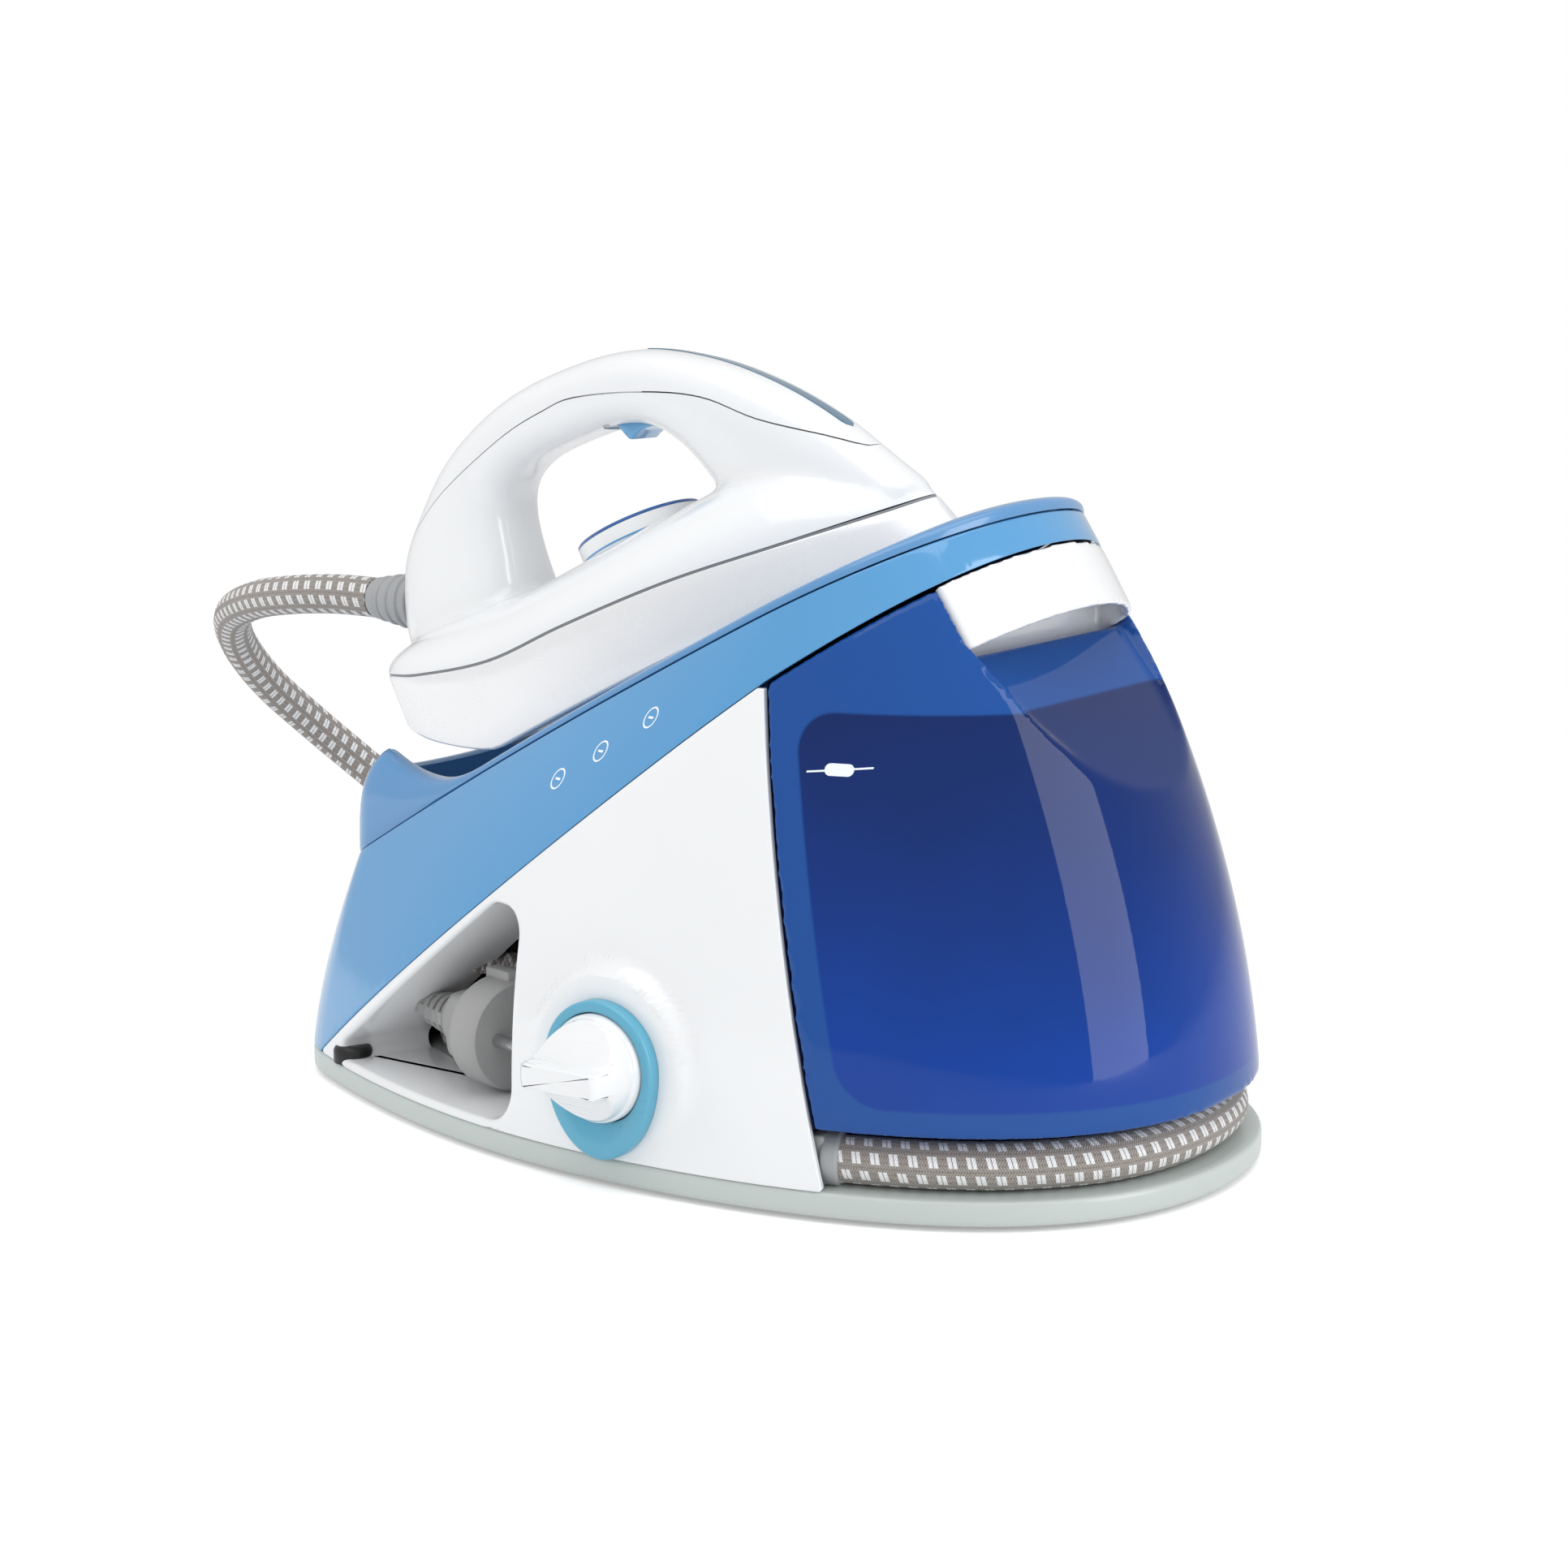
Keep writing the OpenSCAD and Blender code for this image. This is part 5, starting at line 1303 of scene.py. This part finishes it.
class IRON_OT_calc(bpy.types.Operator):
    """Turquoise drain ring with its spout, and the white knob"""
    bl_idname = "steam_iron.calc"
    bl_label = "Calc collector"

    def execute(self, context):
        drop = CALC[1] - PLATE_TOP - 0.3
        outline = []
        for k in range(120):
            w = 2 * math.pi * k / 120
            tall = RING_R if math.sin(w) > 0 else drop
            outline.append((CALC[0] + RING_R * math.cos(w), CALC[1] + tall * math.sin(w)))

        def dished(x, z, depth):
            """The spout's face sinks towards its middle, below the knob."""
            u, v = (x - CALC[0]) / RING_R, (z - CALC[1]) / (drop if z < CALC[1] else RING_R)
            edge = clamp01((0.86 - math.hypot(u, v)) / 0.34)
            below = smooth((CALC[1] - 6 - z) / 12)
            sink = 3.0 * smooth(edge) * below * (1 - clamp01(depth / RING_DEPTH))
            return Vector((x, BOSS_Y - 5 + depth + sink, z))

        hole = circle(CALC, KNOB_R + 0.4, 96)
        drain = cover(outline, [(hole, 0.6, RING_DEPTH)], RING_DEPTH, lip=1.3, cell=1.5,
                      warp=dished)
        add_piece("CalcRing", drain, "ring", "station", ("calc_ring",), sharp=50)

        tip = 26.4
        # How far each corner of the knob's profile lies inside its radius, and its height
        profile = ((0, 0.6), (0, 5.8), (0.5, 6.8), (1.2, 7.2), (2.2, tip - 3), (2.9, tip - 1),
                   (4.4, tip))
        knob = turned([(0, 0.6)] + [(KNOB_R - d, h) for d, h in profile] + [(0, tip)], segments=96)
        curve = []
        for k in range(17):
            rise = math.sin(math.pi / 2 * k / 16)
            curve.append((lerp(7.4, 19.5, rise ** 1.1), 4.6 + 15.4 * (1 - rise) ** 1.25))
        for side in (1, -1):
            pts = [(side * z, y) for y, z in curve]
            pts += [(side * 3.6, 40), (side * 30, 40), (side * 30, 7.4)]
            knob = cut(knob, prism(pts, -30, 30, "YZ"))
        bmesh.ops.remove_doubles(knob, verts=knob.verts, dist=0.12)
        knob = soften(knob, 0.9, 40, clamp=False)
        for k in range(4):
            x = -13.2 + 2.1 * k
            groove = oblong(x - 0.4, 4.0, x + 0.4, 4.7)
            groove = soften(prism(groove, 18.0 + 0.4 * k, 24.5 - 0.5 * k), 0.18)
            groove.transform(Matrix(((1, 0, 0, 0), (0, 0, 1, 0), (0, 1, 0, 0), (0, 0, 0, 1))))
            bmesh.ops.recalc_face_normals(groove, faces=groove.faces)
            knob = join(knob, groove)
        knob.transform(Matrix.Translation((CALC[0], BOSS_Y, CALC[1]))
                       @ Matrix.Rotation(math.radians(90), 4, "X"))
        add_piece("CalcKnob", knob, "white", "calc_screw", ("calc_knob",), sharp=40)
        return {"FINISHED"}


# ---- iron, in its own frame: sole at z = 0, heel at -x, nose at +x --------------------------
IRON_LINE = (
    ((140, 0), (139, -12), (98, -37), (50, -47)),
    ((50, -47), (8, -56), (-46, -55), (-80, -51)),
    ((-80, -51), (-101, -47), (-109, -30), (-110, 0)),
)
# Height of the line between cover and skirt, and of the cover's ridge, from heel to nose
PARTING = ((-112, 54), (-93, 48.5), (-77, 42.5), (-39, 33), (-2, 31), (46, 27.5), (94, 21.5),
           (128, 18.5), (141, 18))
CROWN = ((-90, 64), (-48, 59), (-25, 56), (45, 56), (60, 55), (75, 49), (88, 42), (100, 36))
# Outer point, inner point and half width of the handle, from the nose over the top to the heel
HANDLE = (
    (131, 24, 70, 24, 15), (123, 37, 57, 41, 16), (109, 60, 53, 58, 16.5), (91, 82, 47, 76, 17),
    (69, 102, 38, 88.5, 17.5), (43, 118, 24.5, 95.5, 18), (14, 126, 3, 100, 18),
    (-21, 128.5, -21, 102, 18), (-56, 121, -35, 98, 18.5), (-83, 105, -41, 88, 20),
    (-98, 91, -44, 74, 22), (-107, 68, -46, 62, 25), (-107, 46, -49, 44, 27),
)
# Line between the handle cover and the housing, from the heel over the handle's side to the nose
CAP_LINE = ((-108, 84), (-88, 96), (-72, 103), (-50, 109), (-21, 113.5), (0, 113.5),
            (16, 111.5), (45, 100), (68, 87), (86, 70), (108, 53), (118, 44))
# Below 1 the handle's section is squarer than an ellipse
HANDLE_SQUARE = 0.75
IRON_STEPS = 160
DIAL_X = 9.0
DIAL_R = 24.6
DIAL_LOW = 50.6
DIAL_TOP = 61.8
SKIRT_DROP = 0.5
# Thumb trigger seen from the side: its deep end lies towards the heel
TRIGGER = ((17.5, 101), (17.5, 98.2), (21.8, 97.6), (25.3, 90), (28.5, 90), (33, 90.6),
           (42.2, 88.9), (42.6, 92), (36, 96.6), (30.5, 97.4), (25, 100.6))
TRIGGER_HALF = 8.0
TRIGGER_PLAY = 1.0
INLAY_FROM, INLAY_TO = 1.75, 5.0
# Lower and upper edge of the line round the dial
DIAL_LINE = (54.7, 55.4)


def iron_in(u, off):
    return half_outline(IRON_LINE, u) - off * outline_normal(IRON_LINE, u)


def sole_in(u, off):
    p = iron_in(u, off + 3)
    return Vector((p.x * 0.55 if p.x < 0 else p.x, p.y * 0.94))


def parting(x):
    return eased(x, PARTING)


def eased(x, table):
    """A smooth curve through the pairs of a table."""
    if x <= table[0][0]:
        return table[0][1]
    if x >= table[-1][0]:
        return table[-1][1]
    i = next(k for k in range(len(table) - 1) if x <= table[k + 1][0])
    (x0, y0), (x1, y1) = table[i], table[i + 1]
    xa, ya = table[max(0, i - 1)]
    xb, yb = table[min(len(table) - 1, i + 2)]
    t = (x - x0) / (x1 - x0)
    m0 = (y1 - ya) / (x1 - xa) * (x1 - x0)
    m1 = (yb - y0) / (xb - x0) * (x1 - x0)
    return ((2 * t ** 3 - 3 * t * t + 1) * y0 + (t ** 3 - 2 * t * t + t) * m0
            + (3 * t * t - 2 * t ** 3) * y1 + (t ** 3 - t * t) * m1)


def hem(x):
    return 2 + 32 * clamp01((-50 - x) / 56) ** 1.3


def slanted(x, z):
    """The nose leans back as it rises."""
    return x - 0.36 * max(0.0, z) * smooth((x - 85) / 55)


def boat_ring(angle, off, drop=0.0):
    """Ring of the boat-shaped cover, from its parting line (0) up to its crown (90 degrees)."""
    c, s = math.cos(math.radians(angle)), math.sin(math.radians(angle))
    out = []
    for u in all_round(IRON_STEPS):
        p = iron_in(u, 0)
        q = Vector((p.x * 0.72 - 3, p.y * 0.17))
        m = q.lerp(p, c) - off * outline_normal(IRON_LINE, u) * (0.3 + 0.7 * c)
        z = lerp(parting(p.x), eased(q.x, CROWN), s) - off * s
        out.append((slanted(m.x, z), m.y, z - drop))
    return out


def boat(off, drop):
    return loft([boat_ring(0, off, drop)] + [boat_ring(a, off) for a in range(0, 91, 6)])


def handle_at(v):
    """Outer point, inner point and half width of the handle at station v."""
    i = min(len(HANDLE) - 2, int(v))
    t = v - i
    near = (HANDLE[clamp_index(i + k)] for k in (-1, 0, 1, 2))
    return [catmull(*values, t) for values in zip(*near)]


def clamp_index(i):
    return max(0, min(len(HANDLE) - 1, i))


def handle_point(v, angle, grow=0.0):
    """Point of the handle's surface; angle 0 is its outer ridge and 180 its inner side."""
    ox, oz, ix, iz, w = handle_at(v)
    o, i = Vector((ox, oz)), Vector((ix, iz))
    d = (o - i).normalized()
    c, s = math.cos(math.radians(angle)), math.sin(math.radians(angle))
    h = (o - i).length / 2 + grow
    p = (o + i) / 2 + d * h * swell(c, HANDLE_SQUARE)
    return Vector((p.x, (w + grow) * swell(s, HANDLE_SQUARE), p.y))


def handle_bulk():
    steps, n = 5, 40
    last = (len(HANDLE) - 1) * steps
    return loft([[tuple(handle_point(k / steps, 360 * j / n)) for j in range(n)]
                 for k in range(last + 1)])


def cap_wedge(by):
    """Everything in front of the handle cover's line."""
    return prism([(x + 0.6 * by, z + 0.8 * by) for x, z in flat_curve(CAP_LINE, 4)]
                 + [(170, 44 + by), (170, 160), (-108, 160)], -80, 80)


def skirt_ring(off, share, lift=0.0):
    """Ring round the skirt: share 0 lies on the parting line and share 1 on the hem."""
    out = []
    for u in all_round(IRON_STEPS):
        p = iron_in(u, off)
        z = lerp(parting(p.x), hem(p.x), share) + lift
        out.append((slanted(p.x, z), p.y, z))
    return out


def sole_ring(height):
    return [(p.x, p.y, height) for p in (sole_in(u, 0.1) for u in all_round(IRON_STEPS))]


def closed_loop(rings):
    """A ring-shaped body whose last ring joins its first."""
    bm = loft([*rings, rings[0]], cap=(False, False))
    bmesh.ops.remove_doubles(bm, verts=bm.verts, dist=0.01)
    bmesh.ops.recalc_face_normals(bm, faces=bm.faces)
    return bm


def skirt():
    top = -SKIRT_DROP
    return closed_loop([
        skirt_ring(2.2, 0, top), skirt_ring(2.2, 0.5), skirt_ring(3.8, 1, 2.2), sole_ring(4.2),
        sole_ring(2.0), skirt_ring(1.5, 1), skirt_ring(0.7, 1, 0.2), skirt_ring(0.2, 1, 0.7),
        skirt_ring(0, 1, 1.4), skirt_ring(0, 0.75), skirt_ring(0, 0.5), skirt_ring(0, 0.25),
        skirt_ring(0, 0, top - 0.7), skirt_ring(0.15, 0, top - 0.25), skirt_ring(0.5, 0, top),
    ])


def seam_filler():
    return closed_loop([skirt_ring(off, 0, lift) for off, lift in oblong(2.0, -0.4, 0.55, 0.4)])


def inlay_half(t):
    """Half width of the inlay at share t of its length: rounded below, pointed above."""
    low = math.sqrt(1 - (1 - clamp01(t / 0.05)) ** 2)
    return max(0.15, lerp(3.0, 1.2, t) * low * clamp01((1 - t) / 0.12) ** 0.5)


def inlay_strip():
    """Flat strip along the ridge of the handle."""
    steps, across = 60, 8
    rings = []
    for k in range(steps + 1):
        t = k / steps
        v, half = lerp(INLAY_FROM, INLAY_TO, t), inlay_half(t)
        rows = []
        for grow in (0.15, -1.5):
            wide = handle_at(v)[4] + grow
            row = []
            for j in range(across + 1):
                y = half * (2 * j / across - 1)
                lean = math.degrees(math.asin((abs(y) / wide) ** (1 / HANDLE_SQUARE)))
                row.append(tuple(handle_point(v, math.copysign(lean, y), grow)))
            rows.append(row)
        rings.append(rows[0] + rows[1][::-1])
    return loft(rings)


def on_dial(profile, segments=120):
    return turned(profile, segments=segments, at=(DIAL_X, 0, 0))


def iron_piece(name, bm, finish, body, nodes=(), sharp=40.0):
    """A piece given in the iron's own frame."""
    return add_piece(name, bm, finish, body, nodes, sharp, IRON)


def dial_marks():
    """Plain scale on the dial's face: strokes that grow round the ring, and a dot."""
    low, high = DIAL_TOP - 0.6, DIAL_TOP - 0.2
    marks = turned(oblong(0, low, 1.1, high), segments=24, at=(DIAL_X - 15, 0, 0))
    for k in range(19):
        stroke = prism(oblong(19.4 - 0.12 * k, -0.22, 22.6, 0.22), low, high, "XY")
        stroke.transform(Matrix.Translation((DIAL_X, 0, 0))
                         @ Matrix.Rotation(math.radians(-120 + 240 * k / 18), 4, "Z"))
        marks = join(marks, stroke)
    return marks


class IRON_OT_iron(bpy.types.Operator):
    """The iron: skirt, white housing, handle cover, inlay, trigger and dial"""
    bl_idname = "steam_iron.iron"
    bl_label = "Iron"

    def execute(self, context):
        low = [(x, parting(x) + 0.45) for x in range(-130, 161, 6)] + [(160, -40), (-130, -40)]
        whole = smoothed(cut(boat(0, 14), handle_bulk(), operation="UNION"), 1.7, 14)
        ends = [x for x, _ in TRIGGER]
        half = TRIGGER_HALF + TRIGGER_PLAY
        pocket = oblong(min(ends) - TRIGGER_PLAY, 70, max(ends) + TRIGGER_PLAY, 104)
        pocket = soften(prism(pocket, -half, half), 1.0)
        seat = on_dial(oblong(0, DIAL_LOW - SEAM, DIAL_R + SEAM, DIAL_TOP + 4), 96)
        bore = turned(oblong(0, -130, 6, -104), axis="X", segments=32)
        mouth = turned(oblong(0, -130, 13.3, -116.5), axis="X", segments=48)
        level = Matrix.Rotation(math.radians(IRON_TILT), 4, "Y") @ Matrix.Translation(
            (0, 0, CUFF_Z - IRON_AT.z))
        bore.transform(level)
        mouth.transform(level)
        whole = cut(whole, prism(low, -90, 90))
        cover_half = cut(overlap(whole.copy(), cap_wedge(SEAM)), pocket.copy())
        housing = cut(whole, cap_wedge(0.0), boat(2.8, 20), pocket, bore, mouth, seat)
        iron_piece("IronHousing", housing, "white", "iron", ("iron_housing",), 32)
        iron_piece("HandleCover", cover_half, "white", "iron", ("handle_cover",), 32)
        iron_piece("IronSkirt", skirt(), "silver", "iron", ("iron_skirt",), 50)
        iron_piece("SkirtSeal", seam_filler(), "line", "iron")
        iron_piece("HandleInlay", inlay_strip(), "inlay", "iron", ("handle_inlay",))

        trigger = prism(flat_curve(TRIGGER, 1.2), -TRIGGER_HALF, TRIGGER_HALF)
        trigger = soften(trigger, 1.4, angle=50, segments=4)
        iron_piece("SteamTrigger", trigger, "trigger", "trigger", ("steam_trigger",))

        body = [(0, 42), (4, 42), (4, DIAL_LOW), (DIAL_R - 0.4, DIAL_LOW), (DIAL_R, DIAL_LOW + 0.4),
                (DIAL_R, DIAL_TOP - 1.3), (DIAL_R - 1.6, DIAL_TOP - 1.1),
                (DIAL_R - 1.9, DIAL_TOP - 0.3), (0, DIAL_TOP - 0.3)]
        iron_piece("HeatDial", on_dial(body), "white", "dial", ("heat_dial",))
        # How far each corner of the rim's profile lies inside and below the dial's edge
        rim = ((1.7, 1.2), (0, 1.2), (0, 0.4), (0.4, 0), (1.3, 0), (1.7, 0.4))
        rim = on_dial([(DIAL_R - d, DIAL_TOP - h) for d, h in rim])
        iron_piece("DialRim", rim, "rim", "dial")
        low, high = DIAL_LINE
        line = on_dial(oblong(DIAL_R - 0.5, low, DIAL_R + 0.12, high))
        iron_piece("DialLine", line, "band", "dial")
        iron_piece("DialMarks", dial_marks(), "print_dark", "dial")
        return {"FINISHED"}


# ---- inner parts ---------------------------------------------------------------------
class IRON_OT_inner(bpy.types.Operator):
    """Finishes for the parts that keep their construction shape"""
    bl_idname = "steam_iron.inner"
    bl_label = "Inner parts"

    def execute(self, context):
        for node, key in CARRIED.items():
            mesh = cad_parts[node].data
            mesh.materials.clear()
            mesh.materials.append(FINISH[key])
        return {"FINISHED"}


class IRON_PT_build(bpy.types.Panel):
    """Sizes, colours and the build steps"""
    bl_label = "Steam Iron"
    bl_idname = "IRON_PT_build"
    bl_space_type = "VIEW_3D"
    bl_region_type = "UI"
    bl_category = "Steam Iron"

    def draw(self, context):
        col = self.layout.column()
        for group in (context.scene.iron_sizes, context.scene.iron_colours):
            for key in type(group).__annotations__:
                col.prop(group, key)
        for step in STEPS:
            col.operator(step.bl_idname)


STEPS = (
    IRON_OT_stage, IRON_OT_hose, IRON_OT_lead, IRON_OT_panels, IRON_OT_shell, IRON_OT_base,
    IRON_OT_deck, IRON_OT_tank, IRON_OT_calc, IRON_OT_iron, IRON_OT_inner,
)
CLASSES = (IronColours, IronSizes, *STEPS, IRON_PT_build)


def register():
    for cls in CLASSES:
        bpy.utils.register_class(cls)
    bpy.types.Scene.iron_colours = bpy.props.PointerProperty(type=IronColours)
    bpy.types.Scene.iron_sizes = bpy.props.PointerProperty(type=IronSizes)


def unregister():
    del bpy.types.Scene.iron_sizes
    del bpy.types.Scene.iron_colours
    for cls in reversed(CLASSES):
        bpy.utils.unregister_class(cls)


def main():
    register()
    for step in STEPS:
        family, name = step.bl_idname.split(".")
        getattr(getattr(bpy.ops, family), name)()


if __name__ == "__main__":
    main()
